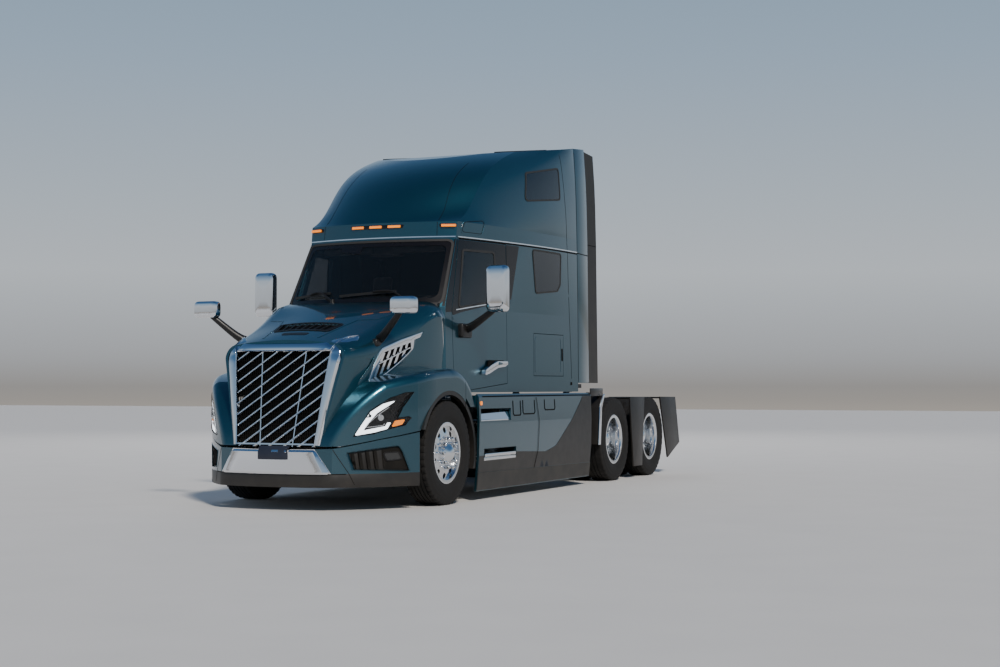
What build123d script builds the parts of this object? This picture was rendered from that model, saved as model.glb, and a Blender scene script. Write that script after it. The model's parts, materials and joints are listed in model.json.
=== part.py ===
"""Semi truck tractor unit with a high-roof sleeper cab, one steered axle and two drive axles.

Millimetres. x runs to the vehicle's left, z up from the ground. While the pieces are shaped, y is
measured back from the front axle; save() then shifts each piece so that the origin is the middle of
the vehicle's length, on the ground."""
from build123d import *
import math
import os

os.makedirs("parts", exist_ok=True)

# driving dimensions: the whole vehicle and its axles
FRONT_END = -1360
REAR_END = 6940
MIDDLE_Y = (FRONT_END + REAR_END) / 2
DRIVE_AXLES = {"front": 4506, "rear": 5826}
AXLE_Z = 505
GAP = 6

# wheels
TYRE_RADIUS = 505
TYRE_WIDTH = 286
TYRE_SIDES = 40
RIM_RADIUS = 298
RIM_WIDTH = 229
STEER_TYRE_X = 1036
DUAL_OUTER_X = 1086
DUAL_INNER_X = 743
DUAL_MIDDLE_X = (DUAL_OUTER_X + DUAL_INNER_X) / 2
KINGPIN_X = 860
HUB_BORE = 45
SPINDLE_RADIUS = 39
SPINDLE_START = 500
SPINDLE_END = 1130

# frame
RAIL_X = 432
RAIL_TOP = 1000
RAIL_DEPTH = 270
RAIL_BOTTOM = RAIL_TOP - RAIL_DEPTH
RAIL_FLANGE = 90
RAIL_WEB = 9

# cab
WALL = 55
GLASS = 8
CAB_FOOT = 1090
FLOOR_TOP = 1210
BELT_Z = 1950
HEADER_Z = 2670
BROW_Z = 2850
CAB_REAR = 3350
CAB_SPLIT = 1690
DOOR_INNER_X = 795
SILL_X, SILL_TOP = 930, 1250
REAR_TOP_Z = 3935
BUNK_Z = 1775

# hood and fenders
HINGE_Y, HINGE_Z = -1232, 300
HINGE_X = 448
BEAM_X = 427
ARCH_RADIUS = 605
FLARE_WIDTH = 42
FENDER_X = 1180
FENDER_ROUND = 90
HOOD_SKIN = 30


def box(x0, x1, y0, y1, z0, z1):
    """Block between two corners."""
    return Pos((x0 + x1) / 2, (y0 + y1) / 2, (z0 + z1) / 2) * Box(x1 - x0, y1 - y0, z1 - z0)


def rod(axis, radius, start, end, a, b):
    """Round bar along an axis from start to end; a and b are its other two coordinates."""
    length, middle = end - start, (start + end) / 2
    at = {"x": (middle, a, b), "y": (a, middle, b), "z": (a, b, middle)}[axis]
    turn = {"x": Rot(0, 90, 0), "y": Rot(90, 0, 0), "z": Rot(0, 0, 0)}[axis]
    return Pos(*at) * turn * Cylinder(radius, length)


def outline(points, place, radius=0):
    """Closed face from 2-D points, its corners rounded, each point placed in space by a function."""
    corners = [place(*point) for point in points]
    if radius:
        return make_face(FilletPolyline(*corners, radius=radius, close=True))
    return make_face(Polyline(*corners, close=True))


def side_prism(points, x0, x1, radius=0):
    """Side-view outline of (y, z) points, from x0 to x1."""
    return extrude(outline(points, lambda y, z: (x0, y, z), radius), amount=x1 - x0, dir=(1, 0, 0))


def front_prism(points, y0, y1, radius=0):
    """Front-view outline of (x, z) points, from y0 to y1."""
    return extrude(outline(points, lambda x, z: (x, y0, z), radius), amount=y1 - y0, dir=(0, 1, 0))


def plan_prism(points, z0, z1, radius=0):
    """Plan outline of (x, y) points, from z0 to z1."""
    return extrude(outline(points, lambda x, y: (x, y, z0), radius), amount=z1 - z0, dir=(0, 0, 1))


def grown(points, amount):
    """Outline with every side moved outwards by an amount."""
    count = len(points)
    area = sum(points[i - 1][0] * points[i][1] - points[i][0] * points[i - 1][1] for i in range(count))
    out = math.copysign(1, area)
    moved = []
    for i in range(count):
        (ax, ay), (bx, by), (cx, cy) = points[i - 1], points[i], points[(i + 1) % count]
        before, after = math.atan2(by - ay, bx - ax), math.atan2(cy - by, cx - bx)
        lean, turn = (before + after) / 2, math.cos((after - before) / 2)
        if turn < 0:
            lean += math.pi
        reach = out * amount / abs(turn)
        moved.append((bx + reach * math.sin(lean), by - reach * math.cos(lean)))
    return moved


def on_right(shape):
    """The same piece on the vehicle's right side."""
    return mirror(shape, about=Plane.YZ)


def both(shape):
    """A left piece and its twin on the right."""
    return [shape, on_right(shape)]


def cut(shape, *tools):
    """A shape less its tools; each tool is a piece or a list of pieces."""
    for tool in tools:
        for piece in tool if isinstance(tool, list) else [tool]:
            shape -= piece
    return shape


def bar_between(foot, head, foot_radius, head_radius):
    """Round arm between two points, thinner at its head."""
    foot, head = Vector(*foot), Vector(*head)
    length = (head - foot).length
    even = foot_radius == head_radius
    bar = Cylinder(foot_radius, length) if even else Cone(foot_radius, head_radius, length)
    return Plane(origin=foot, z_dir=(head - foot).normalized()) * Pos(0, 0, length / 2) * bar


def solids_of(shapes):
    """All solids in a shape or a list of shapes."""
    found = []
    for shape in shapes if isinstance(shapes, list) else [shapes]:
        found += shape.solids()
    return found


def save(name, shapes):
    """Write one node, shifted so that the origin is the middle of the vehicle."""
    solids = [solid.moved(Location((0, -MIDDLE_Y, 0))) for solid in solids_of(shapes)]
    export_step(solids[0] if len(solids) == 1 else Compound(children=solids), f"parts/{name}.step")


def save_sides(name, shape):
    """Write a left piece and its twin as two nodes; the name has a {} for the side."""
    save(name.format("left"), shape)
    save(name.format("right"), on_right(shape))


# cab: plans from the floor up; the middle of the front, then the front corner, the side's middle and
# the rear corner, each a half width and a y
CAB_PLANS = [
    # z, front y, front corner, side, rear corner
    (CAB_FOOT, 150, (957, 372), (1067, 1700), (1190, CAB_REAR)),
    (BELT_Z, 150, (925, 405), (1058, 1700), (1185, CAB_REAR)),
    (HEADER_Z, 640, (862, 790), (1035, 1600), (1175, CAB_REAR)),
    (BROW_Z, 655, (866, 815), (1035, 1620), (1172, CAB_REAR)),
]
FLOOR_PLAN = (FLOOR_TOP, 150, (955, 375), (1066, 1700), (1190, CAB_REAR))
ROOF_PLANS = [
    CAB_PLANS[-1],
    (3050, 785, (870, 1115), (1035, 1750), (1168, CAB_REAR)),
    (3300, 1005, (872, 1356), (1038, 1950), (1162, CAB_REAR)),
    (3560, 1430, (872, 1735), (1040, 2250), (1152, CAB_REAR)),
    (3820, 2200, (872, 2450), (1050, 2750), (1135, CAB_REAR)),
    (4100, 2900, (872, 3050), (1030, 3200), (1115, CAB_REAR)),
]
ROOF_TOP = [(400, 2600), (400, 3300), (1600, 3632), (2000, 3722), (CAB_REAR + 100, REAR_TOP_Z),
            (CAB_REAR + 100, 2600)]

# openings in the side view (y, z), and the windshield in the front view (x, z)
DOOR = [(530, 1300), (530, 1935), (818, 2664), (1625, 2664), (1625, 1185), (655, 1100)]
DOOR_WINDOW = [(655, 1950), (860, 2555), (1400, 2565), (1400, 2045)]
SLEEPER_WINDOW = [(2180, 2652), (2872, 2652), (2872, 2300), (2800, 2228), (2275, 2178)]
UPPER_WINDOW = [(2165, 3500), (2870, 3632), (2865, 3272), (2060, 3180)]
BAGGAGE_DOOR = [(2240, 1270), (2240, 1730), (2960, 1730), (2960, 1270)]
WINDSHIELD = [(-893, 1975), (-842, 2650), (842, 2650), (893, 1975)]


def cab_plan(z, front_y, corner, side, rear, inset=0):
    """Face of one cab plan, drawn in by the thickness of the wall."""
    (corner_x, corner_y), (side_x, side_y), (rear_x, rear_y) = corner, side, rear
    corner_x, side_x, rear_x = corner_x - inset, side_x - inset, rear_x - inset
    front_y, corner_y, rear_y = front_y + inset, corner_y + inset, rear_y - inset
    return make_face(Wire([
        ThreePointArc((-corner_x, corner_y, z), (0, front_y, z), (corner_x, corner_y, z)),
        ThreePointArc((corner_x, corner_y, z), (side_x, side_y, z), (rear_x, rear_y, z)),
        Line((rear_x, rear_y, z), (-rear_x, rear_y, z)),
        ThreePointArc((-rear_x, rear_y, z), (-side_x, side_y, z), (-corner_x, corner_y, z)),
    ]))


def lower_hull(inset=0, floor=CAB_PLANS[0]):
    """Solid of the cab up to the header."""
    plans = [floor] + CAB_PLANS[1:3]
    return loft([cab_plan(*plan, inset=inset) for plan in plans], ruled=True)


def roof_hull(inset=0):
    """Solid of the roof fairing: a steep brow, then a smooth slope whose top is cut to its own fall."""
    brow = loft([cab_plan(*plan, inset=inset) for plan in CAB_PLANS[2:]], ruled=True)
    slope = loft([cab_plan(*plan, inset=inset) for plan in ROOF_PLANS])
    return brow + (slope & side_prism([(y, z - inset) for y, z in ROOF_TOP], -1300, 1300))


def door_zone(gap=0):
    """Space of the left door, whose foot stays clear of the floor, grown by a gap."""
    zone = side_prism(grown(DOOR, gap), DOOR_INNER_X - gap, 1300)
    return zone - box(700, SILL_X - gap, 400, CAB_SPLIT, 1000, SILL_TOP - gap)


def cab_parts():
    body, room = lower_hull(), lower_hull(WALL, FLOOR_PLAN)
    shell = body - room
    door_hole = door_zone(GAP)
    screen = front_prism(WINDSHIELD, 0, 900, radius=70)
    front = cut(shell & box(-1300, 1300, 0, CAB_SPLIT, 1000, HEADER_Z), both(door_hole), screen)
    window = side_prism(SLEEPER_WINDOW, 900, 1300, radius=40)
    upper_window = side_prism(UPPER_WINDOW, 900, 1300, radius=45)
    baggage_hole = side_prism(grown(BAGGAGE_DOOR, GAP), 900, 1300)
    rear = shell & box(-1300, 1300, CAB_SPLIT, CAB_REAR, 1000, HEADER_Z)
    rear = cut(rear, both(window), both(baggage_hole))
    rear += box(-1100, 1100, 2480, CAB_REAR - WALL, BUNK_Z - 30, BUNK_Z)
    rear += box(-20, 20, 2480, CAB_REAR - WALL, FLOOR_TOP, BUNK_Z)
    save("cab_shell", front)
    save("sleeper_shell", rear)

    roof_solid = roof_hull()
    loft_hole = box(-750, 750, 1000, CAB_REAR - WALL, HEADER_Z - 50, HEADER_Z + 60)
    save("roof", cut(roof_solid, roof_hull(WALL), loft_hole, both(upper_window)))

    skin = body - lower_hull(GLASS)
    roof_skin = roof_solid - roof_hull(GLASS)
    save("cab_glass", [skin & screen] + both(skin & window) + both(roof_skin & upper_window))

    side = shell & door_zone()
    door_window = side_prism(DOOR_WINDOW, DOOR_INNER_X, 1300, radius=40)
    handle = fillet((Pos(1066, 1440, 1390) * Box(60, 200, 34)).edges(), 12) - body
    save_sides("door_{}_panel", side - door_window + handle)
    save_sides("door_{}_glass", skin & door_window)
    save_sides("baggage_door_{}", shell & side_prism(BAGGAGE_DOOR, 900, 1300))

    base = box(940, 1010, 640, 870, 1640, 1790)
    arm = bar_between((985, 770, 1725), (1340, 700, 1910), 40, 26)
    head = fillet((Pos(1390, 690, 2135) * Box(264, 95, 480)).edges(), 34)
    save_sides("door_{}_mirror", base - body + (arm - body) + head)


# hood: half width at the foot, side's top, shoulder, top's edge and the middle's height
HOOD_SECTIONS = [
    # y, foot x, side (x, z), shoulder (x, z), top edge (x, z), middle z
    (-1320, 440, (506, 1390), (500, 1450), (466, 1478), 1490),
    (-900, 620, (728, 1400), (705, 1530), (600, 1605), 1663),
    (-650, 700, (772, 1420), (752, 1600), (620, 1690), 1752),
    (-200, 800, (868, 1640), (815, 1800), (660, 1880), 1912),
    (400, 900, (950, 1790), (905, 1925), (740, 1985), 2035),
]
HOOD_FOOT = 600
HOOD_REAR_SIDE = 355
HOOD_REAR_MIDDLE = 75
NOSE_FOOT = (-1262, 597)
NOSE_TOP = (-1120, 1482)
# seam between the bumper and the hood above it, in the side view
SEAM = [(-1400, 575), (-1250, 585), (-950, 660), (-560, 735)]
# the hood's lower edge stands a little higher at the front, to clear the bumper as it tilts
HOOD_EDGE = [(-1400, 590), (-1200, 602), (-950, 664), (-560, 739)]
# fender: sweep of its outer edge in plan, then three arcs of its crest in the side view
FENDER_SWEEP = [(580, -1262), (905, -965), (1140, -600)]
FENDER_CREST = [(-1262, 600), (-1125, 930), (-870, 1195), (-420, 1292), (60, 1322), (330, 1285), (560, 1095)]
HEADLAMP = [(748, 688), (863, 925), (992, 1045), (1078, 1092), (1124, 1100), (1065, 965), (1032, 860),
            (1098, 873), (1104, 852), (1074, 788), (990, 758), (890, 712)]
SIDE_VENT = [(-965, 1118), (-681, 1514), (-30, 1688), (-70, 1640), (-140, 1600), (-197, 1504), (-338, 1390)]
TOP_VENT = [(-295, -830), (295, -830), (353, -620), (-353, -620)]


def hood_section(y, foot_x, side, shoulder, top_edge, middle_z, inset=0):
    """Face of one section across the hood, drawn in by the skin's thickness."""
    (side_x, side_z), (shoulder_x, shoulder_z), (edge_x, edge_z) = side, shoulder, top_edge
    slant = 0.7 * inset
    foot_x, side_x, shoulder_x = foot_x - inset, side_x - inset, shoulder_x - slant
    shoulder_z, edge_z, middle_z = shoulder_z - slant, edge_z - inset, middle_z - inset
    return make_face(Wire([
        Line((-foot_x, y, HOOD_FOOT), (foot_x, y, HOOD_FOOT)),
        Line((foot_x, y, HOOD_FOOT), (side_x, y, side_z)),
        ThreePointArc((side_x, y, side_z), (shoulder_x, y, shoulder_z), (edge_x, y, edge_z)),
        ThreePointArc((edge_x, y, edge_z), (0, y, middle_z), (-edge_x, y, edge_z)),
        ThreePointArc((-edge_x, y, edge_z), (-shoulder_x, y, shoulder_z), (-side_x, y, side_z)),
        Line((-side_x, y, side_z), (-foot_x, y, HOOD_FOOT)),
    ]))


def bonnet(inset=0):
    """Solid of the hood between the fenders."""
    return loft([hood_section(*row, inset=inset) for row in HOOD_SECTIONS])


def fender(inset=0):
    """Left fender's envelope with a rounded shoulder, drawn in by its skin."""
    (start_x, start_y), (middle_x, middle_y), (end_x, end_y) = FENDER_SWEEP
    start = (start_x, start_y + inset)
    end = (end_x - inset, end_y)
    side_x, foot = FENDER_X - inset, 500
    plan = make_face(Wire([
        ThreePointArc((*start, foot), (middle_x - inset, middle_y + inset, foot), (*end, foot)),
        ThreePointArc((*end, foot), ((end[0] + side_x) / 2 + 8, -460, foot), (side_x, -300, foot)),
        *Polyline((side_x, -300, foot), (side_x, 800, foot), (300, 800, foot), (300, start[1], foot),
                  (*start, foot)).edges(),
    ]))
    crest = [(300, y + inset * (y < -1000), z - inset) for y, z in FENDER_CREST]
    low_y = crest[0][1]
    crest[0] = (300, low_y, 600)
    side = make_face(Wire([
        ThreePointArc(*crest[0:3]), ThreePointArc(*crest[2:5]), ThreePointArc(*crest[4:7]),
        *Polyline(crest[6], (300, 800, 700), (300, 800, 400), (300, low_y, 400), crest[0]).edges(),
    ]))
    solid = extrude(plan, amount=1000, dir=(0, 0, 1)) & extrude(side, amount=1200, dir=(1, 0, 0))
    shoulder = [edge for edge in solid.edges() if is_shoulder(edge)]
    return fillet(shoulder, FENDER_ROUND - inset)


def is_shoulder(edge):
    """Whether an edge of the fender's envelope lies between its crest and its outer side."""
    start, middle, end = edge @ 0, edge @ 0.5, edge @ 1
    rises = abs(start.Z - end.Z) > 200 and abs(start.Y - end.Y) < 5
    runs_across = abs(start.X - end.X) > 150 and abs(start.Y - end.Y) < 5
    return middle.Z > 640 and middle.X > 560 and abs(middle.Y - 800) > 5 and not rises and not runs_across


def nose_y(z, offset=0):
    """How far forward the nose plane is at a height."""
    (foot_y, foot_z), (top_y, top_z) = NOSE_FOOT, NOSE_TOP
    return foot_y + (top_y - foot_y) * (z - foot_z) / (top_z - foot_z) + offset


def ahead_of_nose(offset=0):
    """Everything ahead of the nose plane, moved back by an offset."""
    low, high = 300, 1800
    edge = [(nose_y(low, offset), low), (nose_y(high, offset), high)]
    return side_prism([(-1800, low), *edge, (-1800, high)], -1400, 1400)


def behind_hood():
    """Everything behind the hood's rear seam."""
    foot, side = 500, 985
    arc = ThreePointArc((-side, HOOD_REAR_SIDE, foot), (0, HOOD_REAR_MIDDLE, foot),
                        (side, HOOD_REAR_SIDE, foot))
    rest = Polyline((side, HOOD_REAR_SIDE, foot), (1400, HOOD_REAR_SIDE, foot), (1400, 1500, foot),
                    (-1400, 1500, foot), (-1400, HOOD_REAR_SIDE, foot), (-side, HOOD_REAR_SIDE, foot))
    return extrude(make_face(Wire([arc, *rest.edges()])), amount=1700, dir=(0, 0, 1))


# grille on the leaning nose plane: (across, up the slope) from the foot of the grille
NOSE_LEAN = math.atan2(NOSE_TOP[0] - NOSE_FOOT[0], NOSE_TOP[1] - NOSE_FOOT[1])
NOSE_LENGTH = math.hypot(NOSE_TOP[0] - NOSE_FOOT[0], NOSE_TOP[1] - NOSE_FOOT[1])
NOSE = Plane(origin=(0, *NOSE_FOOT), x_dir=(1, 0, 0), z_dir=(0, -math.cos(NOSE_LEAN), math.sin(NOSE_LEAN)))
HINGE_PLATE = 16
HINGE_REACH = 312
GRILLE = [(-418, 24), (418, 24), (511, NOSE_LENGTH - 6), (-511, NOSE_LENGTH - 6)]
SURROUND_HALF = [(470, 12), (478, 20), (507, 345), (562, 670), (628, 890), (640, 955), (600, 968)]
# chrome strip from the surround's top corner back along the hood's shoulder, in plan, above a height
HORN = [(480, -1180), (660, -1180), (624, -1116), (634, -1016), (662, -918), (634, -850), (589, -922),
        (522, -1037)]
HORN_FOOT = 1400
BAR_RISE = math.radians(33)
BAR_STEP = 101
BAR_COUNT = 17
BAR_WIDTH = 17
BAR_FOOT = -470
DIVIDERS = ((175, 240), (-175, -240))
DIVIDER_WIDTH = 14


def on_nose(points, start, thickness, radius=0):
    """Outline of (across, up the slope) points, raised off the nose plane."""
    plane = NOSE.offset(start)
    face = outline(points, lambda u, v: tuple(plane.from_local_coords((u, v, 0))), radius)
    return extrude(face, amount=thickness, dir=plane.z_dir)


def grille_parts():
    ring = SURROUND_HALF + [(-u, v) for u, v in reversed(SURROUND_HALF)]
    horn = (bonnet(-12) - bonnet(0)) & plan_prism(HORN, HORN_FOOT, 1800)
    horn = cut(max(solids_of(horn), key=lambda piece: piece.volume), ahead_of_nose(2))
    save("grille_surround", [on_nose(ring, 0, 38) - on_nose(GRILLE, -10, 60, radius=14)] + both(horn))
    lattice = on_nose(GRILLE, -32, 14)
    field = on_nose(GRILLE, -40, 60)
    rise = math.tan(BAR_RISE) * 600
    half = BAR_WIDTH / 2 / math.cos(BAR_RISE)
    for number in range(BAR_COUNT):
        foot = BAR_FOOT + number * BAR_STEP
        bar = [(-600, foot - half), (600, foot + 2 * rise - half), (600, foot + 2 * rise + half),
               (-600, foot + half)]
        lattice += on_nose(bar, -20, 26) & field
    half = DIVIDER_WIDTH / 2
    for foot, top in DIVIDERS:
        lattice += on_nose([(foot - half, -20), (foot + half, -20), (top + half, 980), (top - half, 980)],
                           -20, 20) & field
    save("grille", lattice)


LOUVRE_COUNT = 5
LOUVRE_STEP = 88
LOUVRE_HEIGHT = 110
LOUVRE_ROWS = [
    # y and z of the first slot's foot, rise from one slot to the next
    (-760, 1235, 38),
    (-640, 1400, 30),
]


def louvred(vent):
    """Side vent with two rows of slots that lean back."""
    for front_y, low_z, rise in LOUVRE_ROWS:
        for number in range(LOUVRE_COUNT):
            y, z = front_y + LOUVRE_STEP * number, low_z + rise * number
            top = z + LOUVRE_HEIGHT
            vent -= side_prism([(y, z), (y + 38, z), (y + 85, top), (y + 47, top)], 500, 1000)
    return max(solids_of(vent), key=lambda piece: piece.volume)


def hinge_arm():
    """Curved arm from the hood's foot round the bumper's top edge to its pin."""
    def around(radius, degrees):
        lean = math.radians(degrees)
        y, z = HINGE_Y + radius * math.sin(lean), HINGE_Z + radius * math.cos(lean)
        return (HINGE_X - HINGE_PLATE / 2, y, z)

    inner, outer = HINGE_REACH - 4, HINGE_REACH + 30
    foot = around(26, 80)
    plate = make_face(Wire([
        ThreePointArc(around(outer, 0), around(outer, 40), around(outer, 84)),
        *Polyline(around(outer, 84), (foot[0], foot[1], foot[2] - 26), (foot[0], foot[1], foot[2] + 8),
                  around(inner, 74)).edges(),
        ThreePointArc(around(inner, 74), around(inner, 40), around(inner, 0)),
        Line(around(inner, 0), around(outer, 0)),
    ]))
    arm = extrude(plate, amount=HINGE_PLATE, dir=(1, 0, 0))
    low, high = HINGE_X - HINGE_PLATE / 2, HINGE_X + HINGE_PLATE / 2
    arm += rod("x", 26, low, high, HINGE_Y, HINGE_Z)
    arm += box(low, high, HINGE_Y - 6, HINGE_Y + 34, HINGE_Z + inner + 4, HINGE_Z + inner + 60)
    return arm - rod("x", 12.4, low - 10, high + 10, HINGE_Y, HINGE_Z)


def hood_parts():
    outer, inner = bonnet(), bonnet(HOOD_SKIN)
    side_hole = side_prism(SIDE_VENT, 600, 1000)
    top_hole = plan_prism(TOP_VENT, 1500, 1900)
    body = cut(outer, both(side_hole), top_hole) + both(fender())
    side_vent = louvred(solids_of((bonnet(-7) - bonnet(20)) & side_hole)[0] - fender(-3))
    cells = [plan_prism([(x, -810), (x + 70, -810), (x + 84, -640), (x + 14, -640)], 1500, 1900)
             for x in range(-285, 240, 84)]
    top_vent = cut((outer - bonnet(12)) & top_hole, cells)
    arch = rod("x", ARCH_RADIUS, -1300, 1300, 0, AXLE_Z)
    below = side_prism(HOOD_EDGE + [(400, 735), (400, 300), (-1400, 300)], -1300, 1300)
    mouth = [(-415, -60), (415, -60), *GRILLE[2:]]
    lamp = cut((fender(-4) - fender(24)) & front_prism(HEADLAMP, -1400, -590), ahead_of_nose())
    floor = box(-600, 600, -1250, 500, 500, HOOD_FOOT + 5)
    hood = cut(body, inner, both(fender(HOOD_SKIN)), floor, below, arch, ahead_of_nose(),
               on_nose(mouth, -200, 300), behind_hood(), both(lamp))
    save("hood", hood + both(hinge_arm()))
    save("headlamps", both(lamp))
    save("hood_vents", both(side_vent) + [top_vent])

    ring = rod("x", ARCH_RADIUS, FENDER_X - 55, FENDER_X - 3, 0, AXLE_Z)
    ring -= rod("x", ARCH_RADIUS - FLARE_WIDTH, FENDER_X - 60, FENDER_X, 0, AXLE_Z)
    save("fender_flares", both(ring & box(1000, 1300, -700, HOOD_REAR_SIDE - 5, 745, 1200)))
    liner = ring & box(1000, 1300, HOOD_REAR_SIDE + GAP, 700, 330, 1200)
    shield = rod("x", ARCH_RADIUS + 30, 500, FENDER_X - 56, 0, AXLE_Z)
    shield -= rod("x", ARCH_RADIUS, 400, FENDER_X, 0, AXLE_Z)
    liner += shield & box(500, 1300, HOOD_REAR_SIDE + GAP, 640, 330, 1000)
    save("arch_liners", both(liner))

    arm = bar_between((730, -620, 1595), (1080, -800, 1860), 42, 24) - outer
    head = fillet((Pos(1102, -800, 1908) * Box(270, 90, 165)).edges(), 32)
    save("hood_mirrors", both(arm + head))


BUMPER_CENTRE = [(-600, -1262), (0, FRONT_END), (600, -1262)]
BUMPER_SWEEP = [(600, -1262), (900, -965), (1155, -590)]
BUMPER_WALL = 40
BUMPER_BACK = -588
VALANCE_LOW, VALANCE_TOP = 222, 348
CHROME_PLATE = [(-425, 600), (425, 600), (600, 340), (-600, 340)]
POCKET = [(700, 540), (1035, 600), (1058, 545), (1100, 362), (742, 385)]


def bumper_band(inset, z0, z1):
    """Slice of the bumper's plan, drawn in by an inset."""
    left, middle, right = [(x, y + inset, z0) for x, y in BUMPER_CENTRE]
    sweep = [right] + [(x - inset, y + inset * 0.6, z0) for x, y in BUMPER_SWEEP[1:]]
    end_x, end_y = sweep[2][0], sweep[2][1]
    return extrude(make_face(Wire([
        ThreePointArc(left, middle, right),
        ThreePointArc(*sweep),
        *Polyline(sweep[2], (end_x, 200, z0), (-end_x, 200, z0), (-end_x, end_y, z0)).edges(),
        ThreePointArc(*[(-x, y, z) for x, y, z in reversed(sweep)]),
    ])), amount=z1 - z0, dir=(0, 0, 1))


def bumper_parts():
    band = bumper_band(0, 200, 800) - bumper_band(BUMPER_WALL, 150, 900)
    band -= box(-1300, 1300, BUMPER_BACK, 300, 100, 900)
    top = [(y, z - GAP) for y, z in SEAM]
    upper = band & side_prism(top + [(-560, VALANCE_TOP), (-1400, VALANCE_TOP)], -1300, 1300)
    plate_zone = front_prism(CHROME_PLATE, -1400, -1150)
    pocket = both(front_prism(POCKET, -1400, BUMPER_BACK, radius=12))
    save("bumper_chrome", upper & plate_zone)
    save("bumper", cut(upper, plate_zone, pocket))
    back = bumper_band(22, 200, 800) - bumper_band(BUMPER_WALL, 150, 900)
    save("bumper_valance", [band & box(-1300, 1300, -1400, -560, VALANCE_LOW, VALANCE_TOP)]
         + [upper & back & piece for piece in pocket])


def bumper_beam():
    """Cross beam and drop brackets between the frame rails and the bumper's back."""
    beam = box(-BEAM_X, BEAM_X, -1190, -1130, 380, 540)
    bracket = box(BEAM_X - 90, BEAM_X, -1130, -1060, 380, RAIL_TOP)
    bracket += box(BEAM_X - 90, BEAM_X, FRONT_END, -1190, 430, 500)
    hanger = box(BEAM_X - 25, BEAM_X, HINGE_Y - 20, -1150, HINGE_Z - 22, 400)
    pin = rod("x", 12, BEAM_X - 10, HINGE_X + 14, HINGE_Y, HINGE_Z)
    for piece in (bracket, hanger, pin):
        beam += piece
        beam += on_right(piece)
    return beam & bumper_band(BUMPER_WALL, 150, 1100)


CROSSMEMBERS = (-950, 1900, 3300, 4300, 5166, 6500, REAR_END - 105)
TOW_HOLE_X, TOW_HOLE_Z = 80, 50
TOW_HOLE_RADIUS = 8.5


def frame_part():
    rail = box(RAIL_X - RAIL_FLANGE, RAIL_X, -1060, REAR_END - 60, RAIL_BOTTOM, RAIL_TOP)
    rail -= box(0, RAIL_X - RAIL_WEB, -1100, REAR_END, RAIL_BOTTOM + RAIL_WEB, RAIL_TOP - RAIL_WEB)
    frame = rail + on_right(rail)
    half = RAIL_X - RAIL_WEB
    for y in CROSSMEMBERS:
        frame += cut(box(-half, half, y - 40, y + 40, RAIL_TOP - 158, RAIL_TOP - 40),
                     box(-300, 300, y - 30, y + 50, RAIL_TOP - 148, RAIL_TOP - 50))
    plate_y = REAR_END - 84
    frame += box(-half, half, plate_y, plate_y + 12, RAIL_BOTTOM + 20, RAIL_TOP - 20)
    middle_z = RAIL_BOTTOM + RAIL_DEPTH / 2
    for x in (-TOW_HOLE_X, TOW_HOLE_X):
        for z in (middle_z - TOW_HOLE_Z, middle_z + TOW_HOLE_Z):
            frame -= rod("y", TOW_HOLE_RADIUS, plate_y - 10, plate_y + 30, x, z)
    save("frame", frame + bumper_beam())
    deck = box(-560, 560, CAB_REAR + 60, 4050, RAIL_TOP, RAIL_TOP + 30)
    save("deck_plate", deck)


def axle_parts():
    beam = box(-KINGPIN_X + 20, KINGPIN_X - 20, -45, 45, 372, 460)
    beam += both(rod("z", 52, 365, 495, KINGPIN_X, 0))
    save("front_axle", cut(beam, both(rod("z", 24, 300, 600, KINGPIN_X, 0))))
    drives = []
    for y in DRIVE_AXLES.values():
        housing = rod("x", 72, -520, 520, y, AXLE_Z) + rod("y", 205, y - 130, y + 130, 0, AXLE_Z)
        housing += rod("y", 85, y - 295, y - 100, 0, AXLE_Z)
        housing += both(rod("x", SPINDLE_RADIUS, SPINDLE_START, SPINDLE_END, y, AXLE_Z))
        drives.append(housing)
    save("drive_axles", drives)
    inner, outer = RAIL_X - 85, RAIL_X - 10
    top, low = (-620, 670), (0, 575)
    leaf = make_face(Wire([
        ThreePointArc((inner, *top), (inner, *low), (inner, -top[0], top[1])),
        Line((inner, -top[0], top[1]), (inner, -top[0], top[1] + 35)),
        ThreePointArc((inner, -top[0], top[1] + 35), (inner, low[0], low[1] + 60),
                      (inner, top[0], top[1] + 35)),
        Line((inner, top[0], top[1] + 35), (inner, *top)),
    ]))
    spring = extrude(leaf, amount=outer - inner, dir=(1, 0, 0)) + box(inner, outer, -70, 70, 460, 600)
    for y in (-600, 600):
        spring += box(inner, outer, y - 35, y + 35, 680, RAIL_BOTTOM)
    pieces = both(spring)
    for y in DRIVE_AXLES.values():
        arm = side_prism([(y - 560, 700), (y - 480, 700), (y - 60, 620), (y + 360, 555), (y + 360, 500),
                          (y - 60, 560), (y - 560, 620)], inner, outer)
        arm += box(inner, outer, y - 560, y - 470, 620, RAIL_BOTTOM)
        arm += box(inner, outer, y - 60, y + 60, 530, 600)
        arm += rod("z", 112, 555, RAIL_BOTTOM, inner + 38, y + 285)
        pieces += both(arm - rod("x", 72.2, 0, 700, y, AXLE_Z))
    save("suspension", pieces)


ARM_REACH = 230
ARM_Z = AXLE_Z - 195


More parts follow.
